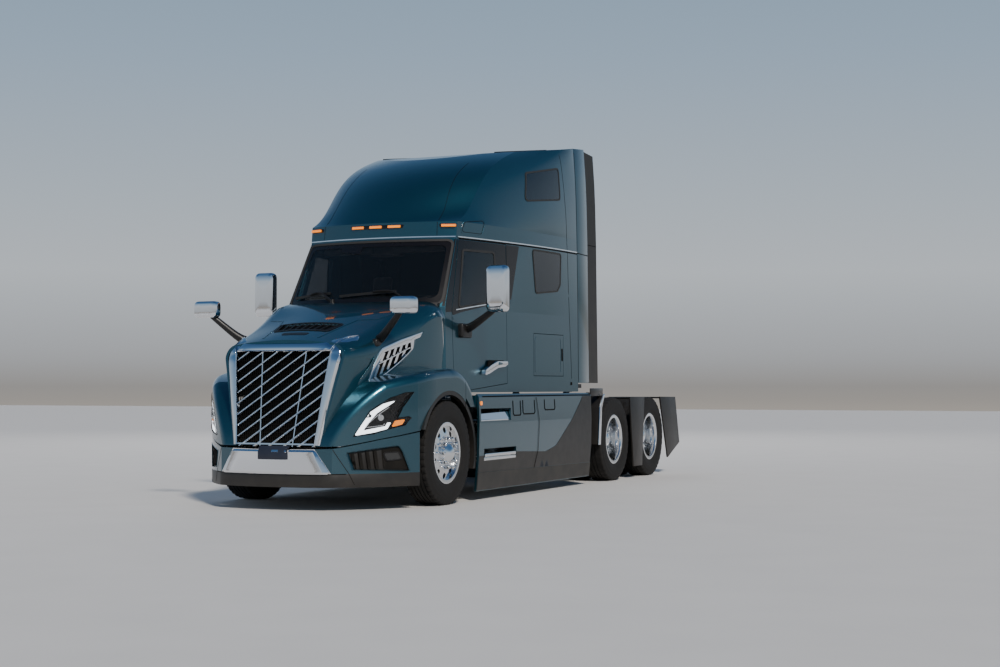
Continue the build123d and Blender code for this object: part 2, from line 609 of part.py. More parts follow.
def knuckle_parts():
    knuckle = rod("z", 22, AXLE_Z - 215, AXLE_Z + 75, KINGPIN_X, 0)
    for z0, z1 in ((AXLE_Z - 215, AXLE_Z - 146), (AXLE_Z - 4, AXLE_Z + 75)):
        knuckle += box(KINGPIN_X - 45, KINGPIN_X + 60, -45, 45, z0, z1)
    knuckle += box(KINGPIN_X + 58, KINGPIN_X + 90, -60, 60, AXLE_Z - 215, AXLE_Z + 75)
    knuckle += rod("x", SPINDLE_RADIUS, KINGPIN_X + 80, KINGPIN_X + 275, 0, AXLE_Z)
    knuckle += box(KINGPIN_X - 20, KINGPIN_X + 20, 40, ARM_REACH + 20, ARM_Z - 20, ARM_Z + 10)
    save_sides("knuckle_{}", knuckle + rod("z", 12, ARM_Z - 60, ARM_Z, KINGPIN_X, ARM_REACH))
    rod_z = ARM_Z - 45
    tie = rod("x", 17, -KINGPIN_X, KINGPIN_X, ARM_REACH, rod_z)
    tie += both(rod("z", 24, rod_z - 20, rod_z + 20, KINGPIN_X, ARM_REACH))
    save("tie_rod", cut(tie, both(rod("z", 12.4, rod_z - 50, rod_z + 50, KINGPIN_X, ARM_REACH))))


def revolved(profile):
    """Ring about the x axis from a closed profile of (along x, radius) points."""
    face = make_face(Polyline(*[(x, r, 0) for x, r in profile], close=True))
    return revolve(face, axis=Axis.X)


def wheel_rim(dish, hub_start, hub_end, cap):
    """Disc wheel along x: barrel with flanges, disc at its dish, hand holes and hub."""
    half, lip, bed = RIM_WIDTH / 2, RIM_RADIUS, RIM_RADIUS - 14
    barrel = revolved([(-half, lip), (-half + 12, lip), (-half + 12, bed), (-30, bed - 16), (30, bed - 16),
                       (half - 12, bed), (half - 12, lip), (half, lip), (half, bed - 8), (40, bed - 32),
                       (-40, bed - 32), (-half, bed - 8)])
    disc = rod("x", bed - 20, dish - 11, dish + 11, 0, 0)
    for number in range(10):
        angle = math.radians(36 * number)
        disc -= rod("x", 27, dish - 50, dish + 50, 222 * math.cos(angle), 222 * math.sin(angle))
    hub = rod("x", 128, hub_start, hub_end, 0, 0)
    hub += revolved([(hub_end - 1, 0), (hub_end - 1, 105), (hub_end + cap * 0.7, 80), (hub_end + cap, 40),
                     (hub_end + cap, 0)])
    return barrel + disc + hub


def tyre():
    """Tyre along x as a many-sided ring, standing on a flat."""
    face_angle = 180 / TYRE_SIDES
    corner = TYRE_RADIUS / math.cos(math.radians(face_angle))
    disc = extrude(RegularPolygon(corner, TYRE_SIDES), amount=TYRE_WIDTH)
    flats = disc.faces().sort_by(Axis.Z)
    disc = chamfer(flats[0].edges() + flats[-1].edges(), 60, 26)
    bore = extrude(RegularPolygon((RIM_RADIUS + 1) / math.cos(math.radians(face_angle)), TYRE_SIDES),
                   amount=TYRE_WIDTH + 20)
    ring = Pos(0, 0, -TYRE_WIDTH / 2) * (disc - Pos(0, 0, -10) * bore)
    return Rot(0, 90, 0) * Rot(0, 0, face_angle) * ring


def wheel_parts():
    rubber = tyre()
    steer = wheel_rim(80, -20, 122, 62) - rod("x", HUB_BORE, -80, 112, 0, 0)
    at = Pos(STEER_TYRE_X, 0, AXLE_Z)
    save_sides("front_tyre_{}", at * rubber)
    save_sides("front_rim_{}", at * steer)
    half = DUAL_OUTER_X - DUAL_MIDDLE_X
    outer = wheel_rim(12 - half, -half, 34, 28)
    inner = wheel_rim(half - 12, -40, half, 1)
    for name, y in DRIVE_AXLES.items():
        outer_at, inner_at = Pos(DUAL_OUTER_X, y, AXLE_Z), Pos(DUAL_INNER_X, y, AXLE_Z)
        bore = rod("x", HUB_BORE, SPINDLE_START, SPINDLE_END + GAP, y, AXLE_Z)
        save_sides(name + "_drive_rims_{}", outer_at * outer + inner_at * inner - bore)
        tyres = [outer_at * rubber, inner_at * rubber]
        save(f"{name}_drive_tyres_left", tyres)
        save(f"{name}_drive_tyres_right", [on_right(piece) for piece in tyres])


def driveline_parts():
    gearbox_end = 1300
    engine = box(-310, 310, -900, 40, 680, 1480) + rod("y", 230, 0, gearbox_end, 0, 840)
    save("engine", engine)
    first, second = DRIVE_AXLES.values()
    shaft = bar_between((0, gearbox_end, 820), (0, first - 295, AXLE_Z), 45, 45)
    shaft = cut(shaft, box(-400, 400, 0, gearbox_end, 0, 1400), box(-400, 400, first - 295, first, 0, 1400))
    save("driveshafts", [shaft, rod("y", 50, first + 130, second - 295, 0, AXLE_Z)])


# painted side skirt: its section in the front view, from the top down
SKIRT_SECTION = [(1180, 1075), (1203, 1040), (1212, 780), (1206, 460), (1172, 95), (1148, 95), (1180, 460),
                 (1186, 780), (1178, 1030), (1160, 1060)]
SKIRT_FRONT, SKIRT_REAR = 612, 3720
STEPS = [
    # y range, z range, outer x of the tread
    (650, 1390, 800, 925, 1198),
    (730, 1530, 425, 520, 1206),
]


# outer edge of the extenders behind the sleeper, which follows the roof's rear corner
EXTENDER = [(1190, 1190), (1172, 2850), (1162, 3300), (1152, 3560), (1135, 3820)]


def extender_section(inset, thickness, top):
    """Face across a left extender, from the skirt up to a height."""
    outer = EXTENDER + [(EXTENDER[-1][0] - (top - EXTENDER[-1][1]) * 0.07, top)]
    edge = [(x - inset, z) for x, z in outer]
    edge += [(x - inset - thickness, z) for x, z in reversed(outer)]
    return outline(edge, lambda x, z: (x, CAB_REAR, z))


def side_parts():
    skirt = front_prism(SKIRT_SECTION, SKIRT_FRONT, SKIRT_REAR)
    steps = box(RAIL_X, 700, 690, 1500, 425, 830)
    for y0, y1, z0, z1, reach in STEPS:
        skirt -= box(1100, 1300, y0, y1, z0, z1)
        steps += box(600, reach, y0 + GAP, y1 - GAP, z0 - 25, z0 + 8) - skirt
    skirt += [box(1000, 1185, y - 20, y + 20, 300, 900) for y in (1590, 3650)]
    fender_shell = fender() - fender(HOOD_SKIN)
    corner = fender_shell & box(900, 1300, HOOD_REAR_SIDE + GAP, 660, 945, 1400)
    corner = cut(corner, rod("x", ARCH_RADIUS + 36, 400, 1300, 0, AXLE_Z), lower_hull(-GAP),
                 side_prism(grown(DOOR, 2 * GAP), 900, 1300))
    corner = max(solids_of(corner), key=lambda piece: piece.volume) + box(1120, 1175, 590, 640, 940, 1060)
    save("side_skirts", both(skirt + corner))
    save("cab_steps", both(cut(steps, skirt)))
    tank = rod("y", 310, 1675, 3425, 790, 640)
    tank += [box(RAIL_X, 560, y - 30, y + 30, 760, 960) for y in (1900, 3200)]
    save("fuel_tanks", both(tank))

    outer = (1236, 1256)
    middle = side_prism([(4935, 1016), (5480, 1016), (5385, 150), (5070, 150)], *outer)
    middle += box(RAIL_X, 1237, 5110, 5222, 990, 1010)
    tail = side_prism([(6100, 1016), (6730, 1010), (6906, 398), (6412, 209)], *outer)
    tail += box(RAIL_X, 1237, 6380, 6700, 990, 1010)
    front = side_prism([(3920, 460), (3965, 900), (4080, 1040), (4110, 1030), (3990, 890), (3945, 460)],
                       620, 1215)
    front += box(RAIL_X, 640, 3950, 3985, 800, 900)
    save("drive_fairings", both(middle) + both(tail) + both(front))

    top = REAR_TOP_Z
    fall = side_prism([(CAB_REAR, 1100), (CAB_REAR, top - 10), (3700, top + 25), (3700, 1100)], -1300, 1300)
    blade = extender_section(0, 37, top + 60)
    crown = front_prism([(-1128, top - 50), (1128, top - 50), (1122, top + 60), (-1122, top + 60)],
                        CAB_REAR, 3700)
    blades = extrude(blade, amount=3700 - CAB_REAR, dir=(0, 1, 0))
    save("side_extenders", (blades + on_right(blades) + crown) & fall)
    flap = Pos(0, 3700 - CAB_REAR, 0) * extrude(extender_section(6, 26, top), amount=300, dir=(0, 1, 0))
    flap -= side_prism([(3700, top), (4010, top - 20), (4010, top + 60), (3700, top + 60)], 1000, 1300)
    save("extender_flaps", both(flap))


PIVOT_Y, PIVOT_Z = 5050, 1112
PIVOT_RADIUS = 25
PLATE_LOW, PLATE_TOP = 1130, 1180
KINGPIN_Y = 5045
KINGPIN_RADIUS = 25.9


def rear_parts():
    base = side_prism([(4800, RAIL_TOP), (5300, RAIL_TOP), (5120, 1060), (PIVOT_Y + 35, PIVOT_Z + 3),
                       (PIVOT_Y - 35, PIVOT_Z + 3), (4980, 1060)], 330, 372)
    base += box(300, RAIL_X, 4800, 5300, RAIL_TOP, RAIL_TOP + 16)
    base -= rod("x", PIVOT_RADIUS + 0.4, 300, 500, PIVOT_Y, PIVOT_Z)
    save("fifth_wheel_base", both(base))
    half = [(330, 4600), (470, 4720), (480, 5250), (330, 5560), (110, 5560), (60, 5300),
            (60, KINGPIN_Y + 100)]
    plate = plan_prism(half + [(-x, y) for x, y in reversed(half)], PLATE_LOW, PLATE_TOP)
    plate -= box(-KINGPIN_RADIUS, KINGPIN_RADIUS, KINGPIN_Y, 5400, 1000, 1300)
    plate -= rod("z", KINGPIN_RADIUS, 1000, 1300, 0, KINGPIN_Y)
    plate -= side_prism([(5330, PLATE_TOP), (5600, PLATE_TOP - 60), (5600, 1300), (5330, 1300)], -600, 600)
    lug = side_prism([(PIVOT_Y - 60, PLATE_LOW + 1), (PIVOT_Y - 30, PIVOT_Z - 32),
                      (PIVOT_Y + 30, PIVOT_Z - 32), (PIVOT_Y + 60, PLATE_LOW + 1)], 378, 420)
    plate += both(lug + rod("x", PIVOT_RADIUS, 326, 400, PIVOT_Y, PIVOT_Z))
    save("fifth_wheel_plate", plate)
    lamps = box(-560, 560, REAR_END - 30, REAR_END, 760, 900)
    for x in (-415, 415):
        lamps += box(x - 15, x + 15, REAR_END - 60, REAR_END - 29, 770, 880)
    save("tail_lamps", lamps)


WHEEL_CENTRE = (480, 905, 1905)
WHEEL_TILT = 62
MARKER_X = (-786, -214, 0, 214, 786)
MARKER_WIDTH, MARKER_LOW, MARKER_TOP = 136, 2794, 2818


def inside_parts():
    room = lower_hull(WALL + 2, FLOOR_PLAN)
    dash = side_prism([(300, 1500), (300, 1915), (640, 1965), (830, 1900), (850, 1560), (780, 1440),
                       (500, 1440)], -900, 900) & room
    dash += box(-280, 280, 480, 720, FLOOR_TOP, 1460)
    save("dashboard", dash)
    at = Pos(*WHEEL_CENTRE) * Rot(WHEEL_TILT, 0, 0)
    wheel = at * Torus(215, 15) + at * Cylinder(62, 30)
    for turn in (0, 120, 240):
        wheel += at * Rot(0, 0, turn + 90) * Pos(108, 0, 0) * Box(216, 44, 14)
    wheel += bar_between(WHEEL_CENTRE, (480, 800, 1850), 28, 34)
    save("steering_wheel", wheel - dash)
    seat = box(230, 730, 1080, 1560, 1500, 1620)
    seat += side_prism([(1470, 1590), (1560, 1590), (1680, 2180), (1600, 2200)], 240, 720)
    seat += side_prism([(1590, 2180), (1690, 2180), (1720, 2380), (1640, 2390)], 350, 610)
    seat += box(330, 630, 1150, 1450, FLOOR_TOP, 1510)
    save("seats", both(seat))
    save("bunk", box(-1050, 1050, 2450, 3280, BUNK_Z, BUNK_Z + 150))
    strip = lower_hull(-38) - lower_hull(-2)
    save("cowl", strip & front_prism([(-880, 1955), (880, 1955), (872, 1985), (-872, 1985)], 0, 520))
    shade = roof_hull(-22) - roof_hull(-1)
    lamps = [shade & box(x - MARKER_WIDTH / 2, x + MARKER_WIDTH / 2, 500, 900, MARKER_LOW, MARKER_TOP)
             for x in MARKER_X]
    save("marker_lamps", lamps)


hood_parts()
grille_parts()
bumper_parts()
cab_parts()
frame_part()
axle_parts()
knuckle_parts()
wheel_parts()
driveline_parts()
side_parts()
rear_parts()
inside_parts()
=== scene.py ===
"""Looks of the semi truck tractor unit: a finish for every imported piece, and the modelled detail.

Metres. y runs to the rear; sizes along the vehicle are measured back from the front axle, as in the
part, and at() shifts them into the frame."""
import json
import math
import bmesh
import bpy
from mathutils import Matrix, Vector
from mathutils.bvhtree import BVHTree


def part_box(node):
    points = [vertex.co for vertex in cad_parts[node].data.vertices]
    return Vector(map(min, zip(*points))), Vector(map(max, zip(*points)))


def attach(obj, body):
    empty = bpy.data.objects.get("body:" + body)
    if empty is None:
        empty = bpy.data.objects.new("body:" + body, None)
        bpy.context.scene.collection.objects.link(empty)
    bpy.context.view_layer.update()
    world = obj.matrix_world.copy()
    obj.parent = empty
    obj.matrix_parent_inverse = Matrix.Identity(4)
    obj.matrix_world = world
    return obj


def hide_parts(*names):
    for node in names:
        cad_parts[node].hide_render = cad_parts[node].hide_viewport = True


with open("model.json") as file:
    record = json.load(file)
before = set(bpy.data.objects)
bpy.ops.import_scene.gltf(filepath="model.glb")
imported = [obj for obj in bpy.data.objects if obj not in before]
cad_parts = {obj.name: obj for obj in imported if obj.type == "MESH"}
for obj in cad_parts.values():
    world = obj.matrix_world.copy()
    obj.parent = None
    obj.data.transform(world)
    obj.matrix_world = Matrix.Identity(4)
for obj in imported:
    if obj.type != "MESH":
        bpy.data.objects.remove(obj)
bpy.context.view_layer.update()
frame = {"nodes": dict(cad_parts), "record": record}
NODES = frame["nodes"]


def middle(node):
    """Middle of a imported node's box."""
    low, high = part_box(node)
    return (low + high) / 2


# driving sizes, from the frame
FRONT_AXLE = middle("front_tyre_left")
AXLE_Y, AXLE_Z = FRONT_AXLE.y, FRONT_AXLE.z
TYRE_RADIUS = (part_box("front_tyre_left")[1].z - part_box("front_tyre_left")[0].z) / 2
STEER_X = FRONT_AXLE.x
DRIVE_Y = {name: middle(f"{name}_drive_tyres_left").y for name in ("front", "rear")}
TYRE_WIDTH = 0.286
DUAL_OUTER_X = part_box("front_drive_tyres_left")[1].x - TYRE_WIDTH / 2
DUAL_INNER_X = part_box("front_drive_tyres_left")[0].x + TYRE_WIDTH / 2
SIDES = {"left": 1, "right": -1}


def at(x, y, z):
    """Point in the frame from a y measured back from the front axle."""
    return Vector((x, y + AXLE_Y, z))


class Field:
    """A value over a surface: a socket whose arithmetic adds nodes."""

    def __init__(self, finish, socket):
        self.finish = finish
        self.socket = socket

    def math(self, operation, *others):
        """Add a Math node with this value as its first."""
        values = dict(enumerate((self, *others)))
        return self.finish.node("ShaderNodeMath", {"operation": operation}, values)

    def __add__(self, other):
        return self.math("ADD", other)

    def __mul__(self, other):
        return self.math("MULTIPLY", other)

    def __rsub__(self, other):
        return (self * -1.0) + other

    __radd__ = __add__
    __rmul__ = __mul__

    def clamped(self):
        """The value held between 0 and 1."""
        return self.math("MAXIMUM", 0.0).math("MINIMUM", 1.0)


class Finish:
    """A procedural material in a piece's own metres."""

    def __init__(self, name, colour, roughness, metallic=0.0, **fixed):
        self.material = bpy.data.materials.new(name)
        self.material.use_nodes = True
        self.tree = self.material.node_tree
        self.shader = self.tree.nodes["Principled BSDF"]
        self.place = self.node("ShaderNodeTexCoord", output="Object")
        self.colour = colour
        self.feed("Base Color", colour)
        self.feed("Roughness", roughness)
        self.feed("Metallic", metallic)
        for key, value in fixed.items():
            self.shader.inputs[key.replace("_", " ")].default_value = value

    def node(self, kind, settings=None, inputs=None, output=0):
        """Add a node: its settings first, then the values or links of its sockets."""
        made = self.tree.nodes.new(kind)
        for name, value in (settings or {}).items():
            setattr(made, name, value)
        for name, value in (inputs or {}).items():
            if isinstance(value, Field):
                self.tree.links.new(value.socket, made.inputs[name])
            else:
                made.inputs[name].default_value = value
        return Field(self, made.outputs[output])

    def feed(self, name, value):
        """Set or link one of the shader's sockets."""
        socket = self.shader.inputs[name]
        if isinstance(value, Field):
            self.tree.links.new(value.socket, socket)
        elif name.endswith("Color"):
            socket.default_value = (*value, 1.0)
        else:
            socket.default_value = value

    def noise(self, scale, detail, stretch=(1, 1, 1)):
        """Cloudy value from 0 to 1; scale is in features per metre."""
        where = self.place
        if stretch != (1, 1, 1):
            where = self.node("ShaderNodeMapping", None, {"Vector": self.place, "Scale": stretch})
        return self.node("ShaderNodeTexNoise", None, {"Vector": where, "Scale": scale, "Detail": detail})

    def cells(self, scale, output="Distance"):
        """Fine cells, as the grain of moulded plastic or the flakes in paint."""
        return self.node("ShaderNodeTexVoronoi", None, {"Vector": self.place, "Scale": scale}, output)

    def axis(self, name):
        """One coordinate of the surface, in metres."""
        return self.node("ShaderNodeSeparateXYZ", None, {"Vector": self.place}, name)

    def mix(self, amount, first, second):
        """Blend of two colours."""
        first = first if isinstance(first, Field) else (*first, 1.0)
        second = second if isinstance(second, Field) else (*second, 1.0)
        return self.node("ShaderNodeMix", {"data_type": "RGBA"}, {0: amount, 6: first, 7: second}, 2)

    def uneven(self, smoothest, spread, scale, detail, stretch=(1, 1, 1)):
        """Roughness that drifts from its smoothest value up by a spread, in cloudy patches."""
        self.feed("Roughness", self.noise(scale, detail, stretch) * spread + smoothest)
        return self

    def bump(self, height, depth, strength):
        """Relief of a depth in metres."""
        relief = self.node("ShaderNodeBump", None,
                           {"Height": height, "Distance": depth, "Strength": strength}, "Normal")
        self.feed("Normal", relief)
        return self

    def dust(self, height, strength):
        """Fine pale dust that thins out up to a height on the vehicle."""
        low = (1.0 - self.axis("Z") * (1.0 / height)).clamped()
        amount = (low * strength) * self.noise(7.0, 4.0)
        self.feed("Base Color", self.mix(amount, self.colour, DUST))


DUST = (0.30, 0.26, 0.21)
PAINT_BLUE, FLAKE_BLUE = (0.013, 0.064, 0.092), (0.03, 0.13, 0.18)
BLACK = (0.009, 0.008, 0.0075)


def paint_finish():
    """Dark teal-blue metallic under a clear coat, with fine flakes and a veil of dust low down."""
    finish = Finish("teal_metallic_paint", PAINT_BLUE, 0.32, 0.85, Coat_Weight=1.0, Coat_Roughness=0.025)
    flake = finish.cells(1400.0, "Color")
    tone = finish.node("ShaderNodeSeparateColor", None, {"Color": flake}, 0)
    bright = finish.mix(tone * 0.35, PAINT_BLUE, FLAKE_BLUE)
    low = (1.0 - finish.axis("Z") * 0.8).clamped()
    veil = low * finish.noise(5.0, 5.0) * 0.05
    finish.feed("Base Color", finish.mix(veil, bright, DUST))
    finish.uneven(0.30, 0.06, scale=2.5, detail=3.0)
    return finish.bump(finish.noise(260.0, 1.0), 0.00002, 0.35)


def satin_black_finish(name="satin_black_plastic", colour=BLACK, rough=0.42, shine=0.4):
    """Moulded plastic with a fine grain."""
    finish = Finish(name, colour, rough, 0.0, Specular_IOR_Level=shine)
    finish.dust(0.9, 0.12)
    finish.uneven(rough - 0.06, 0.12, scale=9.0, detail=3.0)
    return finish.bump(finish.cells(900.0), 0.00012, 0.5)


def gloss_black_finish(name="gloss_black", colour=(0.006, 0.005, 0.005), coat=0.25):
    """Smooth lacquered or moulded surface, black where no other colour is given."""
    finish = Finish(name, colour, 0.30, 0.0, Coat_Weight=coat, Coat_Roughness=0.05, Specular_IOR_Level=0.3)
    return finish.uneven(0.24, 0.08, scale=6.0, detail=3.0)


def chrome_finish():
    """Mirror chrome with the slight waves of a pressed sheet."""
    finish = Finish("chrome", (0.80, 0.81, 0.83), 0.06, 1.0)
    finish.uneven(0.03, 0.05, scale=6.0, detail=4.0)
    return finish.bump(finish.noise(3.5, 2.0), 0.0012, 0.10)


def bright_finish():
    """Bright trim, a little softer than mirror chrome, and the painted highlight of the hood's rear edge."""
    finish = Finish("bright_trim_and_painted_highlight", (0.88, 0.89, 0.90), 0.16, 1.0)
    return finish.uneven(0.12, 0.08, scale=40.0, detail=3.0)


def polished_finish():
    """Polished aluminium with faint turning marks."""
    finish = Finish("polished_aluminium", (0.78, 0.79, 0.80), 0.14, 1.0)
    finish.uneven(0.08, 0.10, scale=14.0, detail=4.0)
    return finish.bump(finish.noise(600.0, 1.0, (1, 0.1, 1)), 0.00003, 0.3)


def brushed_finish():
    """Brushed aluminium, its marks across the vehicle's length."""
    finish = Finish("brushed_aluminium", (0.62, 0.63, 0.65), 0.30, 1.0)
    finish.uneven(0.18, 0.25, scale=160.0, detail=3.0, stretch=(1, 0.03, 1))
    return finish.bump(finish.noise(500.0, 2.0, (1, 0.02, 1)), 0.00006, 0.4)


def tyre_finish():
    """Dull rubber, browner where it has scuffed."""
    finish = Finish("tyre_rubber", (0.012, 0.011, 0.011), 0.82, 0.0, Specular_IOR_Level=0.3)
    cloud = finish.noise(18.0, 6.0)
    finish.feed("Base Color", finish.mix(cloud * 0.5, (0.007, 0.007, 0.007), (0.026, 0.022, 0.019)))
    finish.feed("Roughness", cloud * 0.2 + 0.70)
    return finish.bump(finish.noise(420.0, 3.0), 0.0004, 0.5)


def chassis_finish():
    """Black paint on steel, dusty underneath."""
    finish = Finish("chassis_black", (0.014, 0.014, 0.015), 0.45, 0.0)
    finish.dust(1.4, 0.35)
    return finish.bump(finish.noise(240.0, 3.0), 0.0002, 0.4)


def cast_finish():
    """Rough dark castings."""
    finish = Finish("cast_iron", (0.030, 0.029, 0.029), 0.62, 0.35)
    finish.dust(1.2, 0.45)
    return finish.bump(finish.noise(320.0, 4.0), 0.0006, 0.6)


def glass_finish(name="tinted_glass", alpha=0.32, tint=(0.010, 0.012, 0.014)):
    """Dark window glass, partly see-through."""
    finish = Finish(name, tint, 0.02, 0.0, IOR=1.45, Specular_IOR_Level=0.5, Coat_Weight=0.35,
                    Coat_Roughness=0.01)
    finish.feed("Alpha", alpha)
    return finish.uneven(0.01, 0.02, scale=3.0, detail=3.0)


def lens_finish():
    """Clear cover of a headlamp."""
    finish = Finish("clear_lens", (0.03, 0.035, 0.04), 0.03, 0.0, IOR=1.49, Coat_Weight=0.6,
                    Coat_Roughness=0.01)
    finish.feed("Alpha", 0.14)
    return finish.uneven(0.02, 0.03, scale=30.0, detail=2.0)


def light_finish(name, colour, glow, strength):
    """Lit lamp with a faint ribbed pattern."""
    finish = Finish(name, colour, 0.25, 0.0)
    finish.shader.inputs["Emission Strength"].default_value = strength
    ribs = finish.noise(120.0, 1.0)
    finish.feed("Emission Color", finish.mix(ribs * 0.25, glow, tuple(c * 0.6 for c in glow)))
    return finish


def amber_finish():
    """Amber lens of a marker or a turn signal."""
    finish = light_finish("amber_lens", (0.80, 0.20, 0.01), (1.0, 0.27, 0.02), 0.9)
    return finish.uneven(0.15, 0.1, scale=60.0, detail=2.0)


def red_finish():
    """Red lens with moulded cells."""
    finish = Finish("red_lens", (0.35, 0.008, 0.008), 0.15, 0.0, Coat_Weight=1.0, Coat_Roughness=0.02)
    finish.uneven(0.12, 0.1, scale=60.0, detail=2.0)
    return finish.bump(finish.cells(160.0), 0.0006, 0.6)


def rubber_finish():
    """Rubber of flaps and seals."""
    finish = Finish("flap_rubber", (0.016, 0.016, 0.016), 0.72, 0.0)
    finish.dust(3.0, 0.15)
    return finish.bump(finish.noise(300.0, 3.0), 0.0003, 0.5)


def interior_finish():
    """Dark grained plastic of the cab's inside."""
    colour, pale = (0.030, 0.029, 0.028), (0.045, 0.0435, 0.042)
    finish = Finish("interior_plastic", colour, 0.62, 0.0)
    finish.feed("Base Color", finish.mix(finish.noise(40.0, 2.0) * 0.4, colour, pale))
    return finish.bump(finish.cells(700.0), 0.0002, 0.6)


def fabric_finish(name="seat_fabric", colour=(0.055, 0.055, 0.06), light=(0.11, 0.11, 0.115)):
    """Woven cloth: crossed fine waves."""
    finish = Finish(name, colour, 0.85, 0.0, Sheen_Weight=0.35)
    waves = []
    for direction in ("X", "Z"):
        waves.append(finish.node("ShaderNodeTexWave", {"bands_direction": direction},
                                 {"Vector": finish.place, "Scale": 160.0, "Distortion": 0.6}, "Fac"))
    weave = waves[0] * waves[1]
    finish.feed("Base Color", finish.mix(weave, colour, light))
    return finish.bump(weave, 0.0008, 0.7)


def mirror_finish():
    """Silvered mirror glass."""
    finish = Finish("mirror_glass", (0.80, 0.83, 0.86), 0.02, 1.0)
    return finish.uneven(0.01, 0.02, scale=8.0, detail=2.0)


FINISHES = {
    "paint": paint_finish(),
    "led": light_finish("daylight_strip", (0.9, 0.93, 1.0), (0.90, 0.95, 1.0), 2.6),
    "lamp_glass": gloss_black_finish("fog_lamp_glass", (0.03, 0.03, 0.03)),
    "plate_blue": satin_black_finish("blank_plate", (0.008, 0.012, 0.026), 0.5),
    "mirror_glass": mirror_finish(),
    "side_glass": glass_finish("side_glass", 0.62, (0.008, 0.012, 0.016)),
    "privacy_glass": glass_finish("privacy_glass", 0.96, (0.006, 0.010, 0.016)),
    "lens_white": gloss_black_finish("clear_lamp", (0.55, 0.56, 0.58), 1.0),
    "chrome": chrome_finish(),
    "black_plastic": satin_black_finish(),
    "gloss_black": gloss_black_finish(),
    "bright": bright_finish(),
    # deep_black is also the painted shade laid along the skirt scoops' folds
    "deep_black": satin_black_finish("deep_black", (0.002, 0.002, 0.002), 0.8, 0.15),
    "glass": glass_finish(),
    "tyre": tyre_finish(),
    "aluminium": polished_finish(),
    "brushed": brushed_finish(),
    "chassis": chassis_finish(),
    "cast": cast_finish(),
    "lamp": lens_finish(),
    "amber": amber_finish(),
    "red_lamp": red_finish(),
    "rubber": rubber_finish(),
    "interior": interior_finish(),
    "fabric": fabric_finish(),
    "cushion": fabric_finish("mattress_fabric", (0.16, 0.155, 0.15), (0.24, 0.235, 0.23)),
}
SLOT_OF = {row["node"]: row["material_slot"] for row in frame["record"]["subparts"]}
SLOT_NAMES = {row["slot"] for row in frame["record"]["materials"]}
BODY_OF = {node: body for body, nodes in frame["record"]["behaviour"]["bodies"].items() for node in nodes}

for name, node in NODES.items():
    node.data.materials.clear()
    node.data.materials.append(FINISHES[SLOT_OF[name]].material)


def new_piece(name, form, finish, body, slot=None, smooth=30, replaced=()):
    """Make a bmesh a finished piece that rides on a body; smooth is its sharpest smooth edge in degrees."""
    mesh = bpy.data.meshes.new(name)
    form.to_mesh(mesh)
    form.free()
    piece = bpy.data.objects.new(name, mesh)
    bpy.context.scene.collection.objects.link(piece)
    mesh.materials.append(FINISHES[finish].material)
    mesh.polygons.foreach_set("use_smooth", [True] * len(mesh.polygons))
    mesh.set_sharp_from_angle(angle=math.radians(smooth))
    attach(piece, body)
    slot or (finish if finish in SLOT_NAMES else "black_plastic")
    if replaced:
        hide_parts(*replaced)
    return piece


def sided(form, sign):
    """Keep a left piece, or turn it into its right twin."""
    if sign < 0:
        bmesh.ops.scale(form, vec=(-1, 1, 1), verts=form.verts)
        bmesh.ops.reverse_faces(form, faces=form.faces)
    return form


def twinned(form):
    """Add the right twin of everything on the left."""
    parts = form.verts[:] + form.edges[:] + form.faces[:]
    copies = bmesh.ops.duplicate(form, geom=parts)["geom"]
    verts = [part for part in copies if isinstance(part, bmesh.types.BMVert)]
    bmesh.ops.scale(form, vec=(-1, 1, 1), verts=verts)
    bmesh.ops.reverse_faces(form, faces=[part for part in copies if isinstance(part, bmesh.types.BMFace)])
    return form


def rounded(points, radius, steps=5):
    """Closed outline of 2-D points with its corners rounded."""
    outline = []
    for i, point in enumerate(points):
        here, before = Vector(point), Vector(points[i - 1])
        after = Vector(points[(i + 1) % len(points)])
        back, ahead = (before - here), (after - here)
        reach = min(radius / math.tan(back.angle(ahead) / 2), 0.45 * back.length, 0.45 * ahead.length)
        start, end = here + back.normalized() * reach, here + ahead.normalized() * reach
        for step in range(steps + 1):
            t = step / steps
            outline.append(start * (1 - t) ** 2 + here * 2 * t * (1 - t) + end * t ** 2)
    return outline


def spaced(points, gap, closed=True):
    """The same outline with points no further apart than a gap."""
    outline = []
    points = [Vector(point) for point in points]
    for here, after in zip(points, points[1:] + points[:1] if closed else points[1:]):
        count = max(1, math.ceil((after - here).length / gap))
        outline += [here.lerp(after, step / count) for step in range(count)]
    return outline if closed else outline + [points[-1]]


def sheet(points):
    """Flat face from an outline, in the plane of the drawing, facing up."""
    form = bmesh.new()
    face = form.faces.new([form.verts.new((a, b, 0)) for a, b in points])
    bmesh.ops.recalc_face_normals(form, faces=[face])
    if face.normal.z < 0:
        bmesh.ops.reverse_faces(form, faces=[face])
    return form


def refined(form, cell):
    """Split a flat form until its edges are shorter than a cell, so that it can follow a curve."""
    for _ in range(8):
        bmesh.ops.triangulate(form, faces=form.faces)
        long = [edge for edge in form.edges if edge.calc_length() > cell]
        if not long:
            break
        bmesh.ops.subdivide_edges(form, edges=long, cuts=1)
    return form


def softly(form, edges, width, segments=2):
    """Round some edges of a form."""
    bmesh.ops.bevel(form, geom=edges, offset=width, segments=segments, profile=0.5, affect="EDGES",
                    clamp_overlap=True, material=-1)
    return form


# angles over which an edge counts as the rim of a raised form, and as an edge of a solid, in radians
RIM_ANGLE, EDGE_ANGLE = 0.9, math.radians(32)


def folded(form, angle):
    """Edges whose two faces meet at more than an angle."""
    return [edge for edge in form.edges if len(edge.link_faces) == 2 and edge.calc_face_angle(0) > angle]


